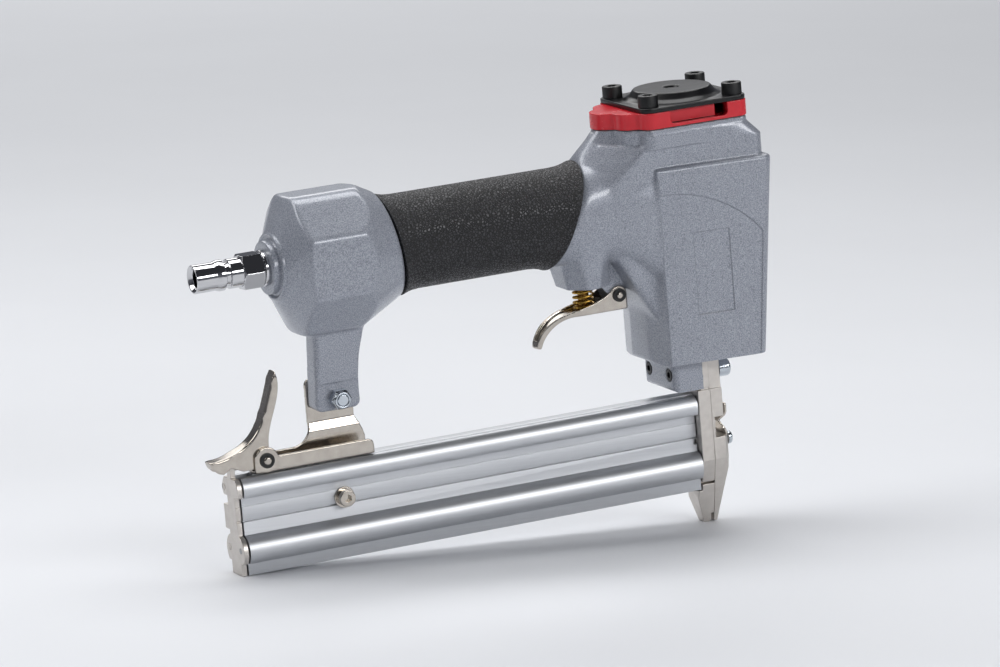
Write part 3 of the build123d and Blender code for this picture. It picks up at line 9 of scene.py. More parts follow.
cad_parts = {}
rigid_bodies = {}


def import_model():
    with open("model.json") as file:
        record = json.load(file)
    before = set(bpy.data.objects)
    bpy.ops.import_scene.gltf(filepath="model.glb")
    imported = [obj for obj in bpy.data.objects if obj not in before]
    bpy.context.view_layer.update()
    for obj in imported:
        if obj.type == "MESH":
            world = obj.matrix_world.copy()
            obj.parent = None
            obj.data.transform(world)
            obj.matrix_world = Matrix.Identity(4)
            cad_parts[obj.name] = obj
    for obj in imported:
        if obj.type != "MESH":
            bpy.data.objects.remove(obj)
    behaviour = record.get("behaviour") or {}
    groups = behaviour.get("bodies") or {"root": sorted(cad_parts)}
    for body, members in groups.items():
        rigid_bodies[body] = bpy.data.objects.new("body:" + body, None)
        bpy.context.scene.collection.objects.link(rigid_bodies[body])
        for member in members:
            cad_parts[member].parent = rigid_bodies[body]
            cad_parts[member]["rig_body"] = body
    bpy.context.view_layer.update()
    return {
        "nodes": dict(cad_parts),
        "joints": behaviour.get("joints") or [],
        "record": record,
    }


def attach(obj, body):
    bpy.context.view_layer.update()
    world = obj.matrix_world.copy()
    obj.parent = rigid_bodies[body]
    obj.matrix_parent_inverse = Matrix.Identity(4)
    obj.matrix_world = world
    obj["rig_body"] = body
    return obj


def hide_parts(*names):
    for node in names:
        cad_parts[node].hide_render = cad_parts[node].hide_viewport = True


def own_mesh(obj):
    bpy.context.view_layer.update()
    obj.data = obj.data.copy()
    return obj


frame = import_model()

# The tool's own axes: millimetres from the nose tip, X forward, Y left, Z up the driver's line.
# They are read off the frame: two sliding joints give the directions, the trigger pin gives the place.
mm = 0.001
joints = {joint["name"]: joint for joint in frame["joints"]}
forward = -Vector(joints["magazine_slide"]["axis"])
up = Vector(joints["stem_lift"]["axis"])
left = up.cross(forward)
turn = Matrix((forward, left, up)).transposed()
trigger_pin = Vector((-37.3, 0.0, 105.2))
nose_tip = Vector(joints["trigger_pull"]["pos_m"]) - turn @ trigger_pin * mm
tool = Matrix.Translation(nose_tip) @ turn.to_4x4() @ Matrix.Scale(mm, 4)

# The height in those axes of the line that the rear barrel and the air plug share.
barrel_z = 140.6


# Finishes

def linear(code):
    """An sRGB hex colour as the linear values that a shader takes."""
    channels = [int(code[i:i + 2], 16) / 255 for i in (1, 3, 5)]
    return [c / 12.92 if c <= 0.04045 else ((c + 0.055) / 1.055) ** 2.4 for c in channels] + [1.0]


def per_metre(size_mm):
    """A pattern's scale for features of this size."""
    return 1.0 / (size_mm * mm)


def add(tree, kind, settings=None, links=None):
    """Adds a node, sets its sockets and properties, and links its sockets."""
    node = tree.nodes.new(kind)
    for key, value in (settings or {}).items():
        if isinstance(key, int) or key in node.inputs:
            node.inputs[key].default_value = value
        else:
            setattr(node, key, value)
    for key, output in (links or {}).items():
        tree.links.new(output, node.inputs[key])
    return node


def new_finish(name):
    """An empty material, its tree of nodes, and the place on the piece that its patterns read."""
    finish = bpy.data.materials.new(name)
    finish.use_nodes = True
    tree = finish.node_tree
    tree.nodes.clear()
    return finish, tree, add(tree, "ShaderNodeTexCoord").outputs["Object"]


def close_finish(tree, shader):
    """Sends the shader to the surface."""
    add(tree, "ShaderNodeOutputMaterial", links={"Surface": shader.outputs["BSDF"]})


def metal(name, dark, light, roughness, spread, grain_mm, relief_mm, drift_mm=9.0):
    """Bare or plated metal: a slow drift between two tones, uneven gloss and a fine grain. The real grain is
    far finer: it is drawn as coarse as it needs to show."""
    finish, tree, place = new_finish(name)
    drift = add(tree, "ShaderNodeTexNoise", {"Scale": per_metre(drift_mm), "Detail": 4.0}, {"Vector": place})
    grain = add(tree, "ShaderNodeTexNoise", {"Scale": per_metre(grain_mm), "Detail": 3.0}, {"Vector": place})
    tone = add(tree, "ShaderNodeMix", {"data_type": "RGBA", 6: linear(dark), 7: linear(light)},
               {0: drift.outputs["Fac"]})
    gloss = add(tree, "ShaderNodeMapRange", {"To Min": roughness - spread, "To Max": roughness + spread},
                {"Value": grain.outputs["Fac"]})
    bump = add(tree, "ShaderNodeBump", {"Strength": 0.6, "Distance": relief_mm * mm},
               {"Height": grain.outputs["Fac"]})
    shader = add(tree, "ShaderNodeBsdfPrincipled", {"Metallic": 1.0},
                 {"Base Color": tone.outputs[2], "Roughness": gloss.outputs["Result"],
                  "Normal": bump.outputs["Normal"]})
    close_finish(tree, shader)
    return finish


def moulded(name, dark, light, roughness, spread, ior, grain_mm, relief_mm, drift_mm=6.0):
    """Moulded plastic, rubber or a dark coating: near-even colour with a fine moulded or sprayed grain."""
    finish, tree, place = new_finish(name)
    drift = add(tree, "ShaderNodeTexNoise", {"Scale": per_metre(drift_mm), "Detail": 5.0}, {"Vector": place})
    grain = add(tree, "ShaderNodeTexNoise", {"Scale": per_metre(grain_mm), "Detail": 2.0}, {"Vector": place})
    tone = add(tree, "ShaderNodeMix", {"data_type": "RGBA", 6: linear(dark), 7: linear(light)},
               {0: drift.outputs["Fac"]})
    gloss = add(tree, "ShaderNodeMapRange", {"To Min": roughness - spread, "To Max": roughness + spread},
                {"Value": drift.outputs["Fac"]})
    bump = add(tree, "ShaderNodeBump", {"Strength": 0.5, "Distance": relief_mm * mm},
               {"Height": grain.outputs["Fac"]})
    shader = add(tree, "ShaderNodeBsdfPrincipled", {"IOR": ior},
                 {"Base Color": tone.outputs[2], "Roughness": gloss.outputs["Result"],
                  "Normal": bump.outputs["Normal"]})
    close_finish(tree, shader)
    return finish


def hammered_enamel():
    """Silver-grey hammer enamel sprayed on a die casting: aluminium flake in a clear resin, with shallow
    pits about a millimetre wide, a finer dark speckle, and a wet gloss that the pits break up."""
    finish, tree, place = new_finish("hammered_enamel")
    pit_mm, speckle_mm, drift_mm = 1.1, 0.42, 16.0
    pit_depth_mm, speckle_depth_mm = 0.05, 0.03
    dimples = add(tree, "ShaderNodeTexVoronoi", {"feature": "SMOOTH_F1", "Scale": per_metre(pit_mm),
                                                 "Smoothness": 0.8}, {"Vector": place})
    speckle = add(tree, "ShaderNodeTexNoise",
                  {"Scale": per_metre(speckle_mm), "Detail": 2.0, "Roughness": 0.6}, {"Vector": place})
    drift = add(tree, "ShaderNodeTexNoise", {"Scale": per_metre(drift_mm), "Detail": 3.0}, {"Vector": place})
    contrast = add(tree, "ShaderNodeMapRange", {"From Min": 0.34, "From Max": 0.62},
                   {"Value": speckle.outputs["Fac"]})
    pigment = add(tree, "ShaderNodeMix", {"data_type": "RGBA", 6: linear("#777c86"), 7: linear("#acb0ba")},
                  {0: contrast.outputs["Result"]})
    shade = add(tree, "ShaderNodeMix", {"data_type": "RGBA", "blend_type": "MULTIPLY", 0: 0.5,
                                        7: linear("#e2e3e6")}, {6: pigment.outputs[2]})
    coat = add(tree, "ShaderNodeMix", {"data_type": "RGBA"},
               {0: drift.outputs["Fac"], 6: pigment.outputs[2], 7: shade.outputs[2]})
    gloss = add(tree, "ShaderNodeMapRange", {"To Min": 0.34, "To Max": 0.5},
                {"Value": speckle.outputs["Fac"]})
    relief = add(tree, "ShaderNodeBump", {"Strength": 0.22, "Distance": pit_depth_mm * mm},
                 {"Height": dimples.outputs["Distance"]})
    fine = add(tree, "ShaderNodeBump", {"Strength": 0.2, "Distance": speckle_depth_mm * mm},
               {"Height": speckle.outputs["Fac"], "Normal": relief.outputs["Normal"]})
    shader = add(tree, "ShaderNodeBsdfPrincipled",
                 {"Metallic": 0.25, "IOR": 1.5, "Coat Weight": 0.7, "Coat Roughness": 0.12, "Coat IOR": 1.5},
                 {"Base Color": coat.outputs[2], "Roughness": gloss.outputs["Result"],
                  "Normal": fine.outputs["Normal"], "Coat Normal": relief.outputs["Normal"]})
    close_finish(tree, shader)
    return finish


def pebbled_rubber():
    """Black nitrile rubber moulded with a leather-like grain: cells about a millimetre across, domed
    between fine creases, and glossier on the cells than in the creases. The cells are also painted lighter
    and the creases darker: a painted sheen on the domes and painted shade in the creases."""
    finish, tree, place = new_finish("pebbled_rubber")
    cell_mm, stir_mm, wander_mm, dome_mm = 1.2, 2.5, 0.6, 0.24
    stir = add(tree, "ShaderNodeTexNoise", {"Scale": per_metre(stir_mm), "Detail": 2.0}, {"Vector": place})
    wander = add(tree, "ShaderNodeVectorMath", {"operation": "MULTIPLY_ADD", 1: (wander_mm * mm,) * 3},
                 {0: stir.outputs["Color"], 2: place})
    cells = add(tree, "ShaderNodeTexVoronoi", {"feature": "DISTANCE_TO_EDGE", "Scale": per_metre(cell_mm)},
                {"Vector": wander.outputs[0]})
    dome = add(tree, "ShaderNodeMapRange", {"interpolation_type": "SMOOTHSTEP", "From Max": 0.3},
               {"Value": cells.outputs["Distance"]})
    # Painted light: the domes of the cells are coloured lighter, a painted sheen, and the creases darker,
    # painted shade.
    tone = add(tree, "ShaderNodeMix", {"data_type": "RGBA", 6: linear("#09090a"), 7: linear("#2f2f33")},
               {0: dome.outputs["Result"]})
    gloss = add(tree, "ShaderNodeMapRange", {"To Min": 0.7, "To Max": 0.34},
                {"Value": dome.outputs["Result"]})
    bump = add(tree, "ShaderNodeBump", {"Strength": 0.9, "Distance": dome_mm * mm},
               {"Height": dome.outputs["Result"]})
    shader = add(tree, "ShaderNodeBsdfPrincipled", {"IOR": 1.52},
                 {"Base Color": tone.outputs[2], "Roughness": gloss.outputs["Result"],
                  "Normal": bump.outputs["Normal"]})
    close_finish(tree, shader)
    return finish


def drawn_aluminium():
    """Extruded aluminium, satin anodised: an even silver-grey with a soft sheen and the faintest lines
    drawn along its length by the die."""
    finish, tree, place = new_finish("anodised_extrusion")
    line_mm, line_stretch, etch_mm, etch_depth_mm = 0.8, 0.012, 0.3, 0.01
    along = add(tree, "ShaderNodeMapping", {"Rotation": (0.0, math.atan2(forward.z, forward.x), 0.0),
                                            "Scale": (line_stretch, 1.0, 1.0)}, {"Vector": place})
    lines = add(tree, "ShaderNodeTexNoise", {"Scale": per_metre(line_mm), "Detail": 2.0},
                {"Vector": along.outputs["Vector"]})
    matt = add(tree, "ShaderNodeTexNoise", {"Scale": per_metre(etch_mm), "Detail": 2.0}, {"Vector": place})
    tone = add(tree, "ShaderNodeMix", {"data_type": "RGBA", 6: linear("#c2c4c8"), 7: linear("#d0d2d5")},
               {0: lines.outputs["Fac"]})
    gloss = add(tree, "ShaderNodeMapRange", {"To Min": 0.4, "To Max": 0.5}, {"Value": matt.outputs["Fac"]})
    bump = add(tree, "ShaderNodeBump", {"Strength": 0.12, "Distance": etch_depth_mm * mm},
               {"Height": matt.outputs["Fac"]})
    shader = add(tree, "ShaderNodeBsdfPrincipled", {"Metallic": 1.0},
                 {"Base Color": tone.outputs[2], "Roughness": gloss.outputs["Result"],
                  "Normal": bump.outputs["Normal"]})
    close_finish(tree, shader)
    return finish


enamel = hammered_enamel()
rubber = pebbled_rubber()
extrusion = drawn_aluminium()
# Chromium plate over polished steel: a near mirror.
chrome = metal("bright_chrome", "#c6c6c8", "#cfcfd1",
               roughness=0.06, spread=0.02, grain_mm=1.5, relief_mm=0.002)
# Bright nickel on pressed steel: a warm mirror, dulled by the ripple of the rolled sheet under it.
nickel = metal("bright_nickel", "#aba49b", "#cbc4bb",
               roughness=0.18, spread=0.06, grain_mm=0.8, relief_mm=0.014, drift_mm=4.0)
# Nickel over a blasted casting: warm grey, matt, with a visible grit.
blasted_nickel = metal("blasted_nickel", "#c4beb8", "#dad5cf",
                       roughness=0.4, spread=0.08, grain_mm=0.45, relief_mm=0.03, drift_mm=3.0)
# Zinc plate with a clear blue passivation: a cool, bright grey.
zinc = metal("blue_zinc", "#b9c0c8", "#ccd2d8", roughness=0.2, spread=0.06, grain_mm=0.7, relief_mm=0.01)
# Yellow passivated spring wire: gold, with a soft gloss.
gold_wire = metal("yellow_passivated_wire", "#a8802f", "#d2ab58",
                  roughness=0.26, spread=0.06, grain_mm=0.5, relief_mm=0.01)
# Ground and hardened steel: a mid grey with a satin gloss.
steel = metal("ground_steel", "#8f8f90", "#a9a9aa", roughness=0.3, spread=0.08, grain_mm=0.5, relief_mm=0.01)
# Turned brass: yellow, with a satin gloss.
brass = metal("turned_brass", "#b08d4a", "#c9a763", roughness=0.26, spread=0.06, grain_mm=0.5, relief_mm=0.01)
# Turned aluminium alloy: pale grey, a little duller than the steel.
cast_alloy = metal("turned_aluminium", "#a0a2a5", "#b9bbbd",
                   roughness=0.32, spread=0.08, grain_mm=0.5, relief_mm=0.01)
# Glass-filled nylon off a fine mould: a strong red with a smooth gloss.
red_nylon = moulded("red_nylon", "#c41d29", "#d82a36",
                    roughness=0.26, spread=0.05, ior=1.53, grain_mm=0.5, relief_mm=0.006)
# The same nylon in black, off a satin mould.
black_nylon = moulded("black_nylon", "#131314", "#1d1d1e",
                      roughness=0.4, spread=0.05, ior=1.53, grain_mm=0.5, relief_mm=0.01)
# Electro-coat on pressed steel: a deep black with a soft gloss.
black_coat = moulded("black_electro_coat", "#08080a", "#111114",
                     roughness=0.3, spread=0.06, ior=1.45, grain_mm=0.35, relief_mm=0.008)
# Black oxide on steel: nearly black, with a dull glint from the oil that seals it.
black_oxide = moulded("black_oxide", "#08090a", "#111214",
                      roughness=0.4, spread=0.06, ior=1.5, grain_mm=0.4, relief_mm=0.01)
# Nitrile rubber off a plain mould: black and dull.
seal_rubber = moulded("nitrile_seal", "#121213", "#1b1b1c",
                      roughness=0.5, spread=0.05, ior=1.52, grain_mm=0.6, relief_mm=0.01)
# Cast urethane: amber, waxy, with a soft gloss.
urethane = moulded("cast_urethane", "#8a6a2c", "#a07f3c",
                   roughness=0.42, spread=0.05, ior=1.5, grain_mm=0.8, relief_mm=0.01)
# Pressed gasket fibre: a dark brown-grey, matt and mottled.
fibre = moulded("gasket_fibre", "#3a3632", "#56504a",
                roughness=0.75, spread=0.05, ior=1.5, grain_mm=0.4, relief_mm=0.03)

finish_of_slot = {
    "casting_paint": enamel, "grip_rubber": rubber, "red_plastic": red_nylon, "black_plate": black_coat,
    "black_oxide": black_oxide, "plug_chrome": chrome, "nickel": nickel, "zinc": zinc, "steel": steel,
    "aluminium": extrusion, "rod_steel": steel, "spring_gold": gold_wire, "spring_steel": steel,
    "seal_rubber": seal_rubber, "bumper_urethane": urethane, "piston_alloy": cast_alloy,
    "gasket_fibre": fibre, "valve_brass": brass, "black_plastic": black_nylon,
}
slot_of_node = {part["node"]: part["material_slot"] for part in frame["record"]["subparts"]}


# Ways of working

def only(piece):
    """Selects one piece alone."""
    bpy.ops.object.select_all(action="DESELECT")
    piece.select_set(True)
    bpy.context.view_layer.objects.active = piece


def begin(primitive, **settings):
    """Adds a primitive with nothing else selected, and puts its place in its mesh."""
    bpy.ops.object.select_all(action="DESELECT")
    primitive(**settings)
    bpy.ops.object.transform_apply(location=True, rotation=True, scale=True)
    return bpy.context.object


def edit(piece, selecting="VERT"):
    """Edit mode on one piece with everything selected."""
    only(piece)
    bpy.ops.object.mode_set(mode="EDIT")
    bpy.ops.mesh.select_mode(type=selecting)
    bpy.ops.mesh.select_all(action="SELECT")


def leave():
    """Back to object mode."""
    bpy.ops.object.mode_set(mode="OBJECT")


def leave_facing_out():
    """Back to object mode with every face pointing outwards."""
    bpy.ops.mesh.select_all(action="SELECT")
    bpy.ops.mesh.normals_make_consistent(inside=False)
    leave()


def pick(piece, elements, chosen):
    """In edit mode, selects the vertices, edges or faces for which chosen is true and no others."""
    bpy.ops.mesh.select_all(action="DESELECT")
    mesh = bmesh.from_edit_mesh(piece.data)
    for element in getattr(mesh, elements):
        if chosen(element):
            element.select_set(True)
    bmesh.update_edit_mesh(piece.data)


def push(x, y, z):
    """In edit mode, extrudes what is selected along a line."""
    bpy.ops.mesh.extrude_region_move(TRANSFORM_OT_translate={"value": (x, y, z)})


def apply_modifier(piece, kind, **settings):
    """Adds a modifier to a piece and applies it."""
    only(piece)
    bpy.ops.object.modifier_add(type=kind)
    modifier = piece.modifiers[-1]
    for key, value in settings.items():
        setattr(modifier, key, value)
    bpy.ops.object.modifier_apply(modifier=modifier.name)


def cut(piece, cutter, **settings):
    """Takes the cutter's shape out of a piece."""
    apply_modifier(piece, "BOOLEAN", operation="DIFFERENCE", object=cutter, **settings)
    bpy.data.objects.remove(cutter)


def settle(piece):
    """Carries a piece modelled in the tool's axes to its place, with its place in its mesh."""
    piece.matrix_world = tool @ piece.matrix_world
    only(piece)
    bpy.ops.object.transform_apply(location=True, rotation=True, scale=True)


def smooth(piece, crease):
    """Shades a piece smooth, apart from edges sharper than the crease angle in degrees."""
    only(piece)
    bpy.ops.object.shade_smooth_by_angle(angle=math.radians(crease))


def ease(piece, width, segments=2, crease=30.0):
    """Rounds a piece's sharp edges and smooths what is left."""
    smooth(piece, crease)
    apply_modifier(piece, "BEVEL", width=width, segments=segments, limit_method="ANGLE",
                   angle_limit=math.radians(crease), use_clamp_overlap=False, harden_normals=True)


def turned_to(axis):
    """The turn that stands a piece modelled up Z along another axis."""
    return Vector(axis).to_track_quat("Z", "Y").to_matrix().to_4x4()


def dress(piece, node, finish):
    """Puts a finished piece in a CAD node's stead, on the node's own body, with the finish as its one
    material.
    """
    piece.name = node + "_finished"
    piece.data.materials.clear()
    piece.data.materials.append(finish)
    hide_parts(node)
    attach(piece, frame["nodes"][node]["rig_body"])


def welded(node):
    """A copy of a CAD node with its triangles welded and its flat faces made whole."""
    weld_mm, flat_degrees = 0.002, 0.4
    piece = bpy.data.objects.new(node, frame["nodes"][node].data.copy())
    bpy.context.scene.collection.objects.link(piece)
    edit(piece)
    bpy.ops.mesh.remove_doubles(threshold=weld_mm * mm)
    bpy.ops.mesh.dissolve_limited(angle_limit=math.radians(flat_degrees))
    leave()
    return piece


# Pieces with eased edges, as tumbling, plating or the mould leaves them: the edge's width and the finish

eased_nodes = {
    "cylinder_cap": (0.3, red_nylon), "trigger_clips": (0.25, black_oxide),
    "nose_rear_plate": (0.3, blasted_nickel), "nose_front_plate": (0.3, blasted_nickel),
    "tail_plate": (0.3, blasted_nickel), "tail_screws": (0.15, nickel), "side_washer": (0.25, nickel),
    "bracket_bolt": (0.5, zinc), "bracket_nut": (0.45, zinc), "latch_clips": (0.25, black_oxide),
    "trigger_pin": (0.8, nickel), "latch_pin": (0.9, nickel), "valve_bushing": (0.3, black_nylon),
    "valve_stem": (0.3, brass),
}
for node, (edge_mm, finish) in eased_nodes.items():
    piece = welded(node)
    ease(piece, edge_mm * mm, segments=3)
    dress(piece, node, finish)


# Pressed sheet

def breadth(face):
    """How far a face reaches across the tool."""
    across = [corner.co.dot(left) for corner in face.verts]
    return max(across) - min(across)


def is_bend(edge):
    """A bend runs between a cheek, which faces sideways, and a web, which is wide."""
    sharp, sideways, level, wide = math.radians(50), 0.9, 0.3, 3.5 * mm
    if len(edge.link_faces) != 2 or not edge.is_convex or edge.calc_face_angle() < sharp:
        return False
    cheek, web = sorted(edge.link_faces, key=lambda face: -abs(face.normal.dot(left)))
    across = abs(cheek.normal.dot(left)), abs(web.normal.dot(left))
    return across[0] > sideways and across[1] < level and breadth(web) > wide


def bend_points(piece):
    """Points along a sheet's bends, found in a tree by their place."""
    spacing = 0.5 * mm
    edit(piece, "EDGE")
    pick(piece, "edges", is_bend)
    leave()
    points = []
    for edge in piece.data.edges:
        if edge.select:
            start, end = (piece.data.vertices[corner].co for corner in edge.vertices)
            steps = max(1, round((end - start).length / spacing))
            points += [start.lerp(end, step / steps) for step in range(steps + 1)]
    tree = KDTree(len(points))
    for number, point in enumerate(points):
        tree.insert(point, number)
    tree.balance()
    return tree


def weigh(piece, name, weight):
    """A vertex group from one weight for each vertex, in tenths."""
    group = piece.vertex_groups.new(name=name)
    tenths = np.round(np.clip(weight, 0, 1) * 10).astype(int)
    for tenth in range(1, 11):
        group.add(np.flatnonzero(tenths == tenth).tolist(), tenth / 10, "REPLACE")


def thin_out(piece, triangles):
    """Leaves about this many triangles, the fewest where the surface is flat."""
    piece.vertex_groups.clear()
    count = sum(len(face.vertices) - 2 for face in piece.data.polygons)
    apply_modifier(piece, "DECIMATE", ratio=min(1.0, triangles / count))


def pressed(node, finish, voxel_mm, bend_reach_mm=0.0):
    """A part pressed from sheet: round on the outside of its bends, with its cut edges just broken."""
    full_share = 1.5
    piece = welded(node)
    bends = bend_points(piece) if bend_reach_mm else None
    apply_modifier(piece, "REMESH", mode="VOXEL", voxel_size=voxel_mm * mm)
    if bends:
        away = np.array([bends.find(corner.co)[2] for corner in piece.data.vertices]) / mm
        weigh(piece, "bends", full_share * (1 - away / bend_reach_mm))
        apply_modifier(piece, "SMOOTH", factor=0.5, iterations=90, vertex_group="bends")
    apply_modifier(piece, "SMOOTH", factor=0.5, iterations=8)
    thin_out(piece, triangles=40000)
    only(piece)
    bpy.ops.object.shade_smooth()
    dress(piece, node, finish)


pressed("top_plate", black_coat, voxel_mm=0.3)
pressed("trigger", nickel, voxel_mm=0.2, bend_reach_mm=2.2)
pressed("latch_lever", nickel, voxel_mm=0.2, bend_reach_mm=2.2)
pressed("bracket", nickel, voxel_mm=0.25, bend_reach_mm=2.4)


# Extrusions

def is_corner(point):
    """A corner of a section's outline turns by more than 25 degrees."""
    ways = [(edge.other_vert(point).co - point.co).normalized() for edge in point.link_edges]
    return len(ways) == 2 and ways[0].dot(ways[1]) > -math.cos(math.radians(25))


def extruded(node, finish, corner_mm=0.12):
    """An extrusion: the section is taken off the node's rear end, its corners are rounded, and it is drawn
    to the node's full length."""
    hair = 0.01 * mm
    piece = welded(node)
    along = [corner.co.dot(forward) for corner in piece.data.vertices]
    rear, length = min(along), max(along) - min(along)
    edit(piece, "FACE")
    pick(piece, "faces", lambda face: abs(face.calc_center_median().dot(forward) - rear) > hair)
    bpy.ops.mesh.delete(type="FACE")
    bpy.ops.mesh.select_mode(type="EDGE")
    pick(piece, "edges", lambda edge: not edge.is_boundary)
    bpy.ops.mesh.delete(type="EDGE")
    bpy.ops.mesh.select_all(action="SELECT")
    bpy.ops.mesh.delete(type="ONLY_FACE")
    bpy.ops.mesh.select_mode(type="VERT")
    pick(piece, "verts", is_corner)
    bpy.ops.mesh.bevel(offset=corner_mm * mm, segments=3, affect="VERTICES", clamp_overlap=True)
    bpy.ops.mesh.select_all(action="SELECT")
    bpy.ops.mesh.fill(use_beauty=False)
    bpy.ops.mesh.select_all(action="SELECT")
    push(*(forward * length))
    leave_facing_out()
    smooth(piece, crease=20.0)
    dress(piece, node, finish)
    return piece


def magazine_cover():
    """The magazine's outer extrusion, with the die's parting grooves and the hole at its front."""
    hole_radius, hole_place = 1.3, (-6.1, -4.0, 36.0)
    side_y, groove_length = 4.3, 220.0
    cutters = [begin(bpy.ops.mesh.primitive_cylinder_add, vertices=48, radius=hole_radius, depth=4.0,
                     rotation=(math.pi / 2, 0, 0), location=hole_place)]
    for height, width, depth in ((37.8, 0.5, 1.5), (44.0, 0.3, 0.9)):
        for side in (-side_y, side_y):
            cutters.append(begin(bpy.ops.mesh.primitive_cube_add, size=1.0,
                                 location=(-groove_length / 2, side, height),
                                 scale=(groove_length, 2 * depth, width)))
    cover = extruded("magazine_cover", extrusion)
    for cutter in cutters:
        settle(cutter)
        cut(cover, cutter)


magazine_cover()
extruded("magazine_rail", extrusion)


# Turned and bent parts

def drawn(points, close):
    """A line drawn through points in the tool's axes, by extruding one vertex. It is left in edit mode."""
    piece = begin(bpy.ops.mesh.primitive_plane_add, size=1.0)
    edit(piece)
    bpy.ops.mesh.merge(type="CENTER")
    bpy.ops.transform.translate(value=points[0])
    for start, end in zip(points, points[1:]):
        push(*(Vector(end) - Vector(start)))
    if close:
        pick(piece, "verts", lambda point: len(point.link_edges) == 1)
        bpy.ops.mesh.edge_face_add()
    bpy.ops.mesh.select_all(action="SELECT")
    return piece


def lathed(stations, corner=0.0):
    """A part turned about X: stations give the distance along the axis and the radius there."""
    steps = 96
    piece = drawn([(along, 0.0, radius) for along, radius in stations], close=True)
    if corner:
        bpy.ops.mesh.bevel(offset=corner, segments=3, affect="VERTICES", clamp_overlap=True)
    leave()
    apply_modifier(piece, "SCREW", axis="X", steps=steps, render_steps=steps, use_merge_vertices=True,
                   merge_threshold=0.0001)
    edit(piece)
    bpy.ops.mesh.remove_doubles(threshold=0.0005)
    leave_facing_out()
    return piece


def plug_hexagon(rear, front):
    """The plug's hexagon, with both ends turned to a chamfer."""
    flats, face_radius, chamfer, corner_radius, axis_radius = 14.0, 6.7, 0.75, 8.1, 0.01
    hexagon = begin(bpy.ops.mesh.primitive_cylinder_add, vertices=6, radius=flats / math.sqrt(3),
                    depth=front - rear, rotation=(0, math.pi / 2, 0), location=((front + rear) / 2, 0, 0))
    turned_ends = lathed([(rear, axis_radius), (rear, face_radius), (rear + chamfer, corner_radius),
                          (front - chamfer, corner_radius), (front, face_radius), (front, axis_radius)])
    apply_modifier(hexagon, "BOOLEAN", operation="INTERSECT", object=turned_ends)
    bpy.data.objects.remove(turned_ends)
    ease(hexagon, 0.2, segments=2, crease=25.0)
    return hexagon


def air_plug():
    """The chromed quick plug: a nozzle with a bead and a groove, a collar and a hexagon with turned ends."""
    nozzle_end, groove_rear, groove_front, hexagon_rear = -225.4, -212.4, -210.0, -205.0
    hexagon_front, collar_front, thread_end = -195.5, -193.5, -183.5
    bore, lip, nozzle, bead, groove, neck, collar, thread = 3.75, 5.2, 5.95, 6.5, 4.9, 6.2, 7.6, 6.58
    hexagon = plug_hexagon(hexagon_rear, hexagon_front)
    body = lathed([
        (nozzle_end + 1.6, bore), (nozzle_end, lip), (nozzle_end, nozzle), (groove_rear - 4.0, nozzle),
        (groove_rear - 2.0, bead), (groove_rear, bead), (groove_rear, groove), (groove_front, groove),
        (groove_front, neck), (hexagon_front, neck), (hexagon_front, collar), (collar_front, collar),
        (collar_front, thread), (thread_end, thread), (thread_end, bore),
    ], corner=0.3)
    smooth(body, crease=35.0)
    hexagon.select_set(True)
    bpy.ops.object.join()
    body.matrix_world = Matrix.Translation((0, 0, barrel_z))
    settle(body)
    dress(body, "air_plug", chrome)


air_plug()


def nose_clip():
    """The bent spring leaf on the nose: a finger tab, a fold into the window and a foot under two screws."""
    bends = [(8.6, 50.5), (8.6, 46.2), (4.6, 43.8), (8.3, 38.1), (8.3, 32.0)]
    leaf, width, bend_radius, corner, hair = 0.9, 9.6, 0.9, 0.8, 0.1
    tab_end, foot_end = bends[0][1] - hair, bends[-1][1] + hair
    piece = drawn([(x, -width / 2, z) for x, z in bends], close=False)
    push(0, width, 0)
    pick(piece, "edges", lambda edge: len(edge.link_faces) == 2)
    bpy.ops.mesh.bevel(offset=bend_radius, segments=5, affect="EDGES")
    pick(piece, "verts", lambda point: point.co.z > tab_end or point.co.z < foot_end)
    bpy.ops.mesh.bevel(offset=corner, segments=4, affect="VERTICES")
    leave_facing_out()
    facing = sum((face.normal for face in piece.data.polygons), Vector())
    apply_modifier(piece, "SOLIDIFY", thickness=leaf, offset=1.0 if facing.x > 0 else -1.0)
    ease(piece, 0.15, segments=2, crease=40.0)
    settle(piece)
    dress(piece, "nose_clip", nickel)


nose_clip()


# Screws

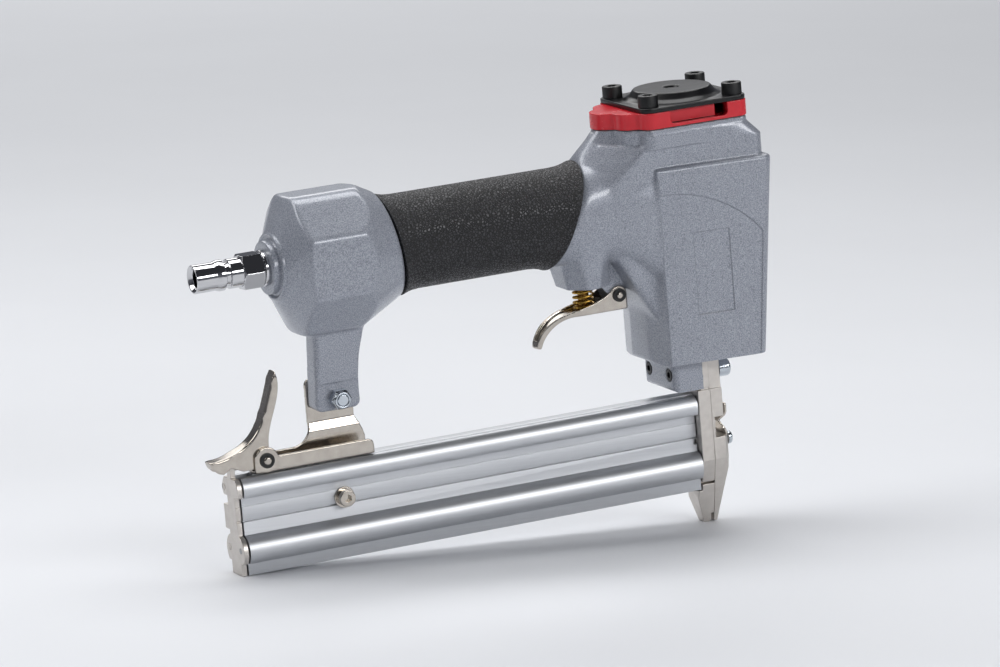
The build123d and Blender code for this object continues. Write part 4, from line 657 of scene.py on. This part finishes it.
def screw(shank_radius, shank_length, head_radius, head_height, rounding, teeth=24, hexagon=0.0, cross=0.0):
    """A screw that stands under its head on the origin, in millimetres: the head has a rounded rim, with
    teeth round its side and a hexagon socket, or a cross recess. The sockets are given by their width."""
    tooth_share, hair, deep = 0.965, 0.01, 0.55 * head_height
    blade_width, blade_tip = 0.3 * cross, (0.3, 0.5, 1.0)
    piece = begin(bpy.ops.mesh.primitive_cylinder_add, vertices=2 * teeth, radius=head_radius,
                  depth=head_height, location=(0, 0, head_height / 2))
    edit(piece, "EDGE")
    pick(piece, "edges", lambda edge: all(corner.co.z > head_height - hair for corner in edge.verts))
    bpy.ops.mesh.bevel(offset=rounding, segments=4, affect="EDGES", clamp_overlap=False)
    if hexagon:
        pitch = math.pi / teeth
        pick(piece, "verts", lambda corner: corner.co.z < head_height - 0.6 * rounding
             and round(math.atan2(corner.co.y, corner.co.x) / pitch) % 2 == 0)
        bpy.ops.transform.resize(value=(tooth_share, tooth_share, 1.0), center_override=(0, 0, 0))
    pick(piece, "faces", lambda face: face.normal.z < -0.99)
    bpy.ops.mesh.inset(thickness=head_radius - shank_radius)
    push(0, 0, -shank_length)
    leave()
    if hexagon:
        cut(piece, begin(bpy.ops.mesh.primitive_cylinder_add, vertices=6, radius=hexagon / math.sqrt(3),
                         depth=2 * deep, location=(0, 0, head_height)))
    if cross:
        for angle in (0.0, math.pi / 2):
            blade = begin(bpy.ops.mesh.primitive_cube_add, size=1.0, location=(0, 0, head_height),
                          rotation=(0, 0, angle), scale=(cross, blade_width, 2 * deep))
            edit(blade, "FACE")
            pick(blade, "faces", lambda face: face.normal.z < -0.9)
            bpy.ops.transform.resize(value=blade_tip)
            leave()
            cut(piece, blade)
    ease(piece, 0.12, segments=2, crease=50.0)
    return piece


def screws(node, finish, axis, places, **shape):
    """One screw modelled, copied to each of its places and joined into the node's one piece."""
    model = screw(**shape)
    copies = []
    for place in places:
        copy = bpy.data.objects.new(node, model.data.copy())
        bpy.context.scene.collection.objects.link(copy)
        copy.matrix_world = Matrix.Translation(place) @ turned_to(axis)
        copies.append(copy)
    bpy.data.objects.remove(model)
    only(copies[0])
    for copy in copies:
        copy.select_set(True)
    if len(copies) > 1:
        bpy.ops.object.join()
    settle(copies[0])
    dress(copies[0], node, finish)


small_pan_head = {"shank_radius": 1.5, "head_radius": 2.9, "head_height": 2.0, "rounding": 1.0, "cross": 3.0}
screws("cap_screws", black_oxide, (0, 0, 1), [(x, y, 184.6) for x in (-22.0, 17.2) for y in (-17.0, 17.0)],
       shank_radius=2.5, shank_length=21.3, head_radius=4.25, head_height=5.0, rounding=0.45, teeth=30,
       hexagon=4.0)
screws("nose_block_screws", black_oxide, (-1, 0, 0), [(-15.7, y, 68.0) for y in (-9.5, 9.5)],
       shank_radius=1.5, shank_length=14.1, head_radius=2.75, head_height=3.0, rounding=0.35, hexagon=2.5)
screws("side_screw", nickel, (0, -1, 0), [(-169.0, -5.0, 40.4)],
       shank_radius=2.0, shank_length=3.9, head_radius=3.5, head_height=3.6, rounding=0.4, teeth=28,
       hexagon=3.0)
screws("nose_cover_screws", zinc, (1, 0, 0), [(6.3, y, 66.0) for y in (-4.2, 4.2)],
       shank_radius=2.0, shank_length=11.3, head_radius=3.8, head_height=5.6, rounding=1.2, cross=4.2)
screws("clip_screws", zinc, (1, 0, 0), [(9.2, y, 35.2) for y in (-3.2, 3.2)],
       shank_length=8.4, **small_pan_head)
screws("bracket_screws", nickel, (0, 0, 1), [(x, 0.0, 58.0) for x in (-186.0, -163.0)],
       shank_length=4.5, **small_pan_head)


# Springs

def spring(node, finish, foot, axis, radius, wire_radius, turns, length):
    """Round wire wound into an open coil, with its two ends capped."""
    steps = round(28 * turns)
    piece = begin(bpy.ops.mesh.primitive_circle_add, vertices=12, radius=wire_radius, location=(radius, 0, 0),
                  rotation=(math.pi / 2, 0, 0))
    apply_modifier(piece, "SCREW", angle=2 * math.pi * turns, screw_offset=length, iterations=1, steps=steps,
                   render_steps=steps, axis="Z")
    edit(piece)
    bpy.ops.mesh.fill_holes(sides=0)
    leave_facing_out()
    smooth(piece, crease=40.0)
    piece.matrix_world = Matrix.Translation(foot) @ turned_to(axis)
    settle(piece)
    dress(piece, node, finish)
    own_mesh(piece)


spring("trigger_spring", gold_wire, foot=(-51.0, 0, 110.0), axis=(0, 0, -1), radius=4.2, wire_radius=0.5,
       turns=4.5, length=9.5)
spring("head_valve_spring", steel, foot=(0, 0, 175.2), axis=(0, 0, -1), radius=13.0, wire_radius=0.5,
       turns=3.5, length=9.6)
spring("pusher_spring", steel, foot=(-214.2, -5.6, 26.0), axis=(1, 0, 0), radius=2.05, wire_radius=0.3,
       turns=42.0, length=182.0)


# Grip

def grip():
    """The rubber sleeve: both ends flare out where they meet the casting, and their rims are rounded."""
    middle_z, half_height, round_radius, mean_radius, bore_radius = 142.0, 20.3, 18.2, 19.0, 17.2
    flare, reach, hair = 1.7, 8.5, 0.05 * mm
    steps = (0.0, 1.4, 3.0, 5.0, reach)
    # Each end leans: the X of its rim at the top and at the bottom, and which way it faces.
    ends = ((-51.2, -68.2, 1.0), (-142.5, -136.0, -1.0))
    piece = welded("grip_sleeve")

    def on_outside(corner):
        place = tool.inverted() @ corner.co
        rise = abs(place.z - middle_z) - (half_height - round_radius)
        return math.hypot(place.y, max(0.0, rise)) > bore_radius

    for top_x, bottom_x, outward in ends:
        facing = Vector((2 * half_height, 0, bottom_x - top_x)).normalized() * outward
        rim = Vector(((top_x + bottom_x) / 2, 0, middle_z))
        along = turn @ facing
        for step in steps[1:]:
            edit(piece)
            bpy.ops.mesh.bisect(plane_co=tool @ (rim - facing * step), plane_no=along)
            leave()
        for step in steps[:-1]:
            spread = 1 + flare * (1 - step / reach) ** 2 / mean_radius
            level = tool @ (rim - facing * step)
            edit(piece)
            pick(piece, "verts", lambda corner: abs((corner.co - level).dot(along)) < hair
                 and on_outside(corner))
            bpy.ops.transform.resize(value=(spread,) * 3, center_override=level)
            leave()
    ease(piece, 0.5 * mm, segments=3, crease=40.0)
    dress(piece, "grip_sleeve", rubber)


grip()


# Casting

# The head's right side: its rear crease, and how far it spreads outwards for each millimetre forward.
head_edge = Vector((-22.7, -22.0, 0.0))
head_spread = 0.1142


def side_field(points, depth, draft=0.0):
    """A block let into the right side of the head and its twin on the left. Its outline is drawn on that
    side: distances forward from the rear crease, and heights. With a draft it narrows inwards, as a cutter
    that starts proud of the side."""
    along = Vector((1.0, -head_spread, 0.0)).normalized()
    outward = Vector((-head_spread, -1.0, 0.0)).normalized()
    proud = 2.0 if draft else 0.0
    corner = head_edge + outward * proud
    piece = drawn([corner + along * x + Vector((0, 0, z)) for x, z in points], close=True)
    bpy.ops.mesh.edge_face_add()
    push(*(-outward * (proud or depth)))
    if draft:
        bpy.ops.mesh.inset(thickness=draft, use_boundary=True)
        bpy.ops.transform.translate(value=-outward * depth)
    leave_facing_out()
    apply_modifier(piece, "MIRROR", use_axis=(False, True, False))
    edit(piece)
    leave_facing_out()
    settle(piece)
    return piece


def arc_through(start, middle, end, steps):
    """Points along the circle through three points."""
    (ax, ay), (bx, by), (cx, cy) = start, middle, end
    d = 2 * (ax * (by - cy) + bx * (cy - ay) + cx * (ay - by))
    a, b, c = ax * ax + ay * ay, bx * bx + by * by, cx * cx + cy * cy
    x = (a * (by - cy) + b * (cy - ay) + c * (ay - by)) / d
    y = (a * (cx - bx) + b * (ax - cx) + c * (bx - ax)) / d
    first, last = math.atan2(ay - y, ax - x), math.atan2(cy - y, cx - x)
    radius = math.hypot(ax - x, ay - y)
    angles = [first + (last - first) * step / steps for step in range(steps + 1)]
    return [(x + radius * math.cos(angle), y + radius * math.sin(angle)) for angle in angles]


# Outlines on the head's side. The solid's own recess is filled, and cut again with drafted walls and an
# open lower edge.
side_arc = arc_through((0.0, 147.4), (25.4, 142.5), (45.4, 126.7), steps=24)
solid_recess = side_arc + [(40.9, 77.1), (0.0, 77.1)]
open_recess = side_arc + [(40.2, 70.0), (0.0, 70.0)]
bare_plate = [(13.4, 93.8), (30.9, 93.8), (30.9, 130.4), (13.4, 130.4)]
# Where the casting's forms run into one another: a line, the reach of the fillet round it, its strength.
blends = [
    ((-28, 20, 97), (-28, 20, 150), 7.0, 0.5), ((-30, 0, 100), (-30, 20, 104), 11.0, 0.9),
    ((-38, 18, 152), (-58, 14, 152), 15.0, 0.9), ((-34, 20, 140), (-52, 18, 130), 12.0, 0.9),
    ((-44, 15, 124), (-63, 13, 128), 9.0, 0.7), ((-40, 14, 116), (-44, 14, 130), 8.0, 0.7),
    ((-48, 0, 166), (-60, 0, 158), 11.0, 0.8),
    ((-184, 0, barrel_z), (-140, 0, barrel_z), 60.0, 0.13), ((-176, 0, 112), (-152, 0, 112), 8.0, 0.6),
]


def neck_web():
    """A wedge in the corner between the neck's underside and the head, which the fillets soften."""
    half_width, top, bottom, rear, front = 16.0, 122.0, 92.0, -41.0, -24.0
    piece = drawn([(x, -half_width, z) for x, z in ((rear, top), (front, top), (front, bottom))], close=True)
    bpy.ops.mesh.edge_face_add()
    push(0, 2 * half_width, 0)
    leave_facing_out()
    settle(piece)
    return piece


def blend_weight(piece):
    """How strongly each point of the casting is smoothed: fully near the lines of the blends, on both sides
    alike, and not at all on the barrel's end face."""
    full_share, barrel_end = 1.6, -188.6
    places = np.empty(3 * len(piece.data.vertices))
    piece.data.vertices.foreach_get("co", places)
    back = np.array(tool.inverted())
    places = places.reshape(-1, 3) @ back[:3, :3].T + back[:3, 3]
    places[:, 1] = np.abs(places[:, 1])
    weight = np.zeros(len(places))
    for start, end, reach, strength in blends:
        run = np.subtract(end, start)
        share = np.clip((places - start) @ run / (run @ run), 0, 1)
        away = np.linalg.norm(places - start - share[:, None] * run, axis=1)
        weight = np.maximum(weight, strength * np.clip(full_share * (1 - away / reach), 0, 1))
    weight[places[:, 0] < barrel_end] = 0
    return weight


def cast_body():
    """The body casting as it leaves the die and the paint line: the neck flows into the head, the valve
    boss and the grip, every edge is rounded, and the side fields stay crisp."""
    voxel_mm, filler_depth = 0.42, 1.4
    piece = welded("body_casting")
    fillers = [side_field(solid_recess, filler_depth), neck_web()]
    only(piece)
    for filler in fillers:
        filler.select_set(True)
    bpy.ops.object.join()
    apply_modifier(piece, "REMESH", mode="VOXEL", voxel_size=voxel_mm * mm)
    weigh(piece, "blends", blend_weight(piece))
    apply_modifier(piece, "SMOOTH", factor=0.5, iterations=400, vertex_group="blends")
    apply_modifier(piece, "SMOOTH", factor=0.5, iterations=2)
    thin_out(piece, triangles=180000)
    for outline, depth, draft in ((open_recess, 0.6, 0.6), (bare_plate, 1.2, 1.0)):
        cut(piece, side_field(outline, depth, draft), solver="MANIFOLD")
    smooth(piece, crease=28.0)
    dress(piece, "body_casting", enamel)


cast_body()

# The nodes that no dressed piece stands for take the finish of their slot.
for node, solid in frame["nodes"].items():
    if not solid.hide_render:
        solid.data.materials.clear()
        solid.data.materials.append(finish_of_slot[slot_of_node[node]])


# Light, floor and camera

def floor():
    """A plain pale floor of matt board, with a mottle that is hardly seen."""
    width, mottle_mm = 16.0, 166.7
    ground = begin(bpy.ops.mesh.primitive_plane_add, size=width)
    ground.name = "floor"
    finish, tree, place = new_finish("pale_matt_board")
    grain = add(tree, "ShaderNodeTexNoise", {"Scale": per_metre(mottle_mm), "Detail": 3.0}, {"Vector": place})
    tone = add(tree, "ShaderNodeMix", {"data_type": "RGBA", 6: linear("#dfe1e5"), 7: linear("#e4e6ea")},
               {0: grain.outputs["Fac"]})
    shader = add(tree, "ShaderNodeBsdfPrincipled", {"Roughness": 0.6, "IOR": 1.45},
                 {"Base Color": tone.outputs[2]})
    close_finish(tree, shader)
    ground.data.materials.append(finish)


def softbox(name, place, target, width, height, watts):
    """A rectangular lamp that faces a target."""
    lamp = bpy.data.lights.new(name, "AREA")
    lamp.shape = "RECTANGLE"
    lamp.size = width
    lamp.size_y = height
    lamp.energy = watts
    box = bpy.data.objects.new(name, lamp)
    box.location = place
    box.rotation_euler = (Vector(target) - Vector(place)).to_track_quat("-Z", "Y").to_euler()
    bpy.context.scene.collection.objects.link(box)


def room():
    """A grey room with a dark ceiling, so that bright metal has something dark to show between the pale
    floor and the lamps."""
    world = bpy.data.worlds.new("room")
    bpy.context.scene.world = world
    world.use_nodes = True
    tree = world.node_tree
    tree.nodes.clear()
    direction = add(tree, "ShaderNodeTexCoord").outputs["Generated"]
    height = add(tree, "ShaderNodeSeparateXYZ", links={0: direction})
    rise = add(tree, "ShaderNodeMapRange", {"From Min": 0.05, "From Max": 0.6},
               {"Value": height.outputs["Z"]})
    tone = add(tree, "ShaderNodeMix", {"data_type": "RGBA", 6: linear("#707279"), 7: linear("#38393d")},
               {0: rise.outputs["Result"]})
    light = add(tree, "ShaderNodeBackground", {"Strength": 1.0}, {"Color": tone.outputs[2]})
    add(tree, "ShaderNodeOutputWorld", links={"Surface": light.outputs["Background"]})


def camera():
    """The photograph's view: from behind, right and a little above, through a long lens."""
    place = Vector((-1.0207, -2.2431, 0.5317))
    ahead = Vector((0.4114, 0.8942, -0.1761)).normalized()
    right = Vector((0.9069, -0.4209, -0.0184))
    right = (right - ahead * right.dot(ahead)).normalized()
    turned = Matrix((right, right.cross(ahead), -ahead)).transposed()
    lens = bpy.data.cameras.new("camera")
    lens.lens = 216.0
    lens.sensor_width = 36.0
    view = bpy.data.objects.new("camera", lens)
    view.matrix_world = Matrix.Translation(place) @ turned.to_4x4()
    bpy.context.scene.collection.objects.link(view)
    bpy.context.scene.camera = view


floor()
room()
middle = (0.0, 0.0, 0.1)
softbox("overhead", (0.1, 0.3, 1.4), middle, width=1.5, height=0.65, watts=13.5)
softbox("left", (-1.15, 0.4, 1.15), middle, width=1.1, height=0.8, watts=10.0)
softbox("front", (0.7, -1.6, 0.8), middle, width=1.7, height=0.35, watts=17.0)
softbox("behind", (0.9, 3.0, 1.8), (0.9, 3.0, 0.0), width=3.0, height=2.0, watts=52.0)
camera()
bpy.context.scene.view_settings.view_transform = "Standard"
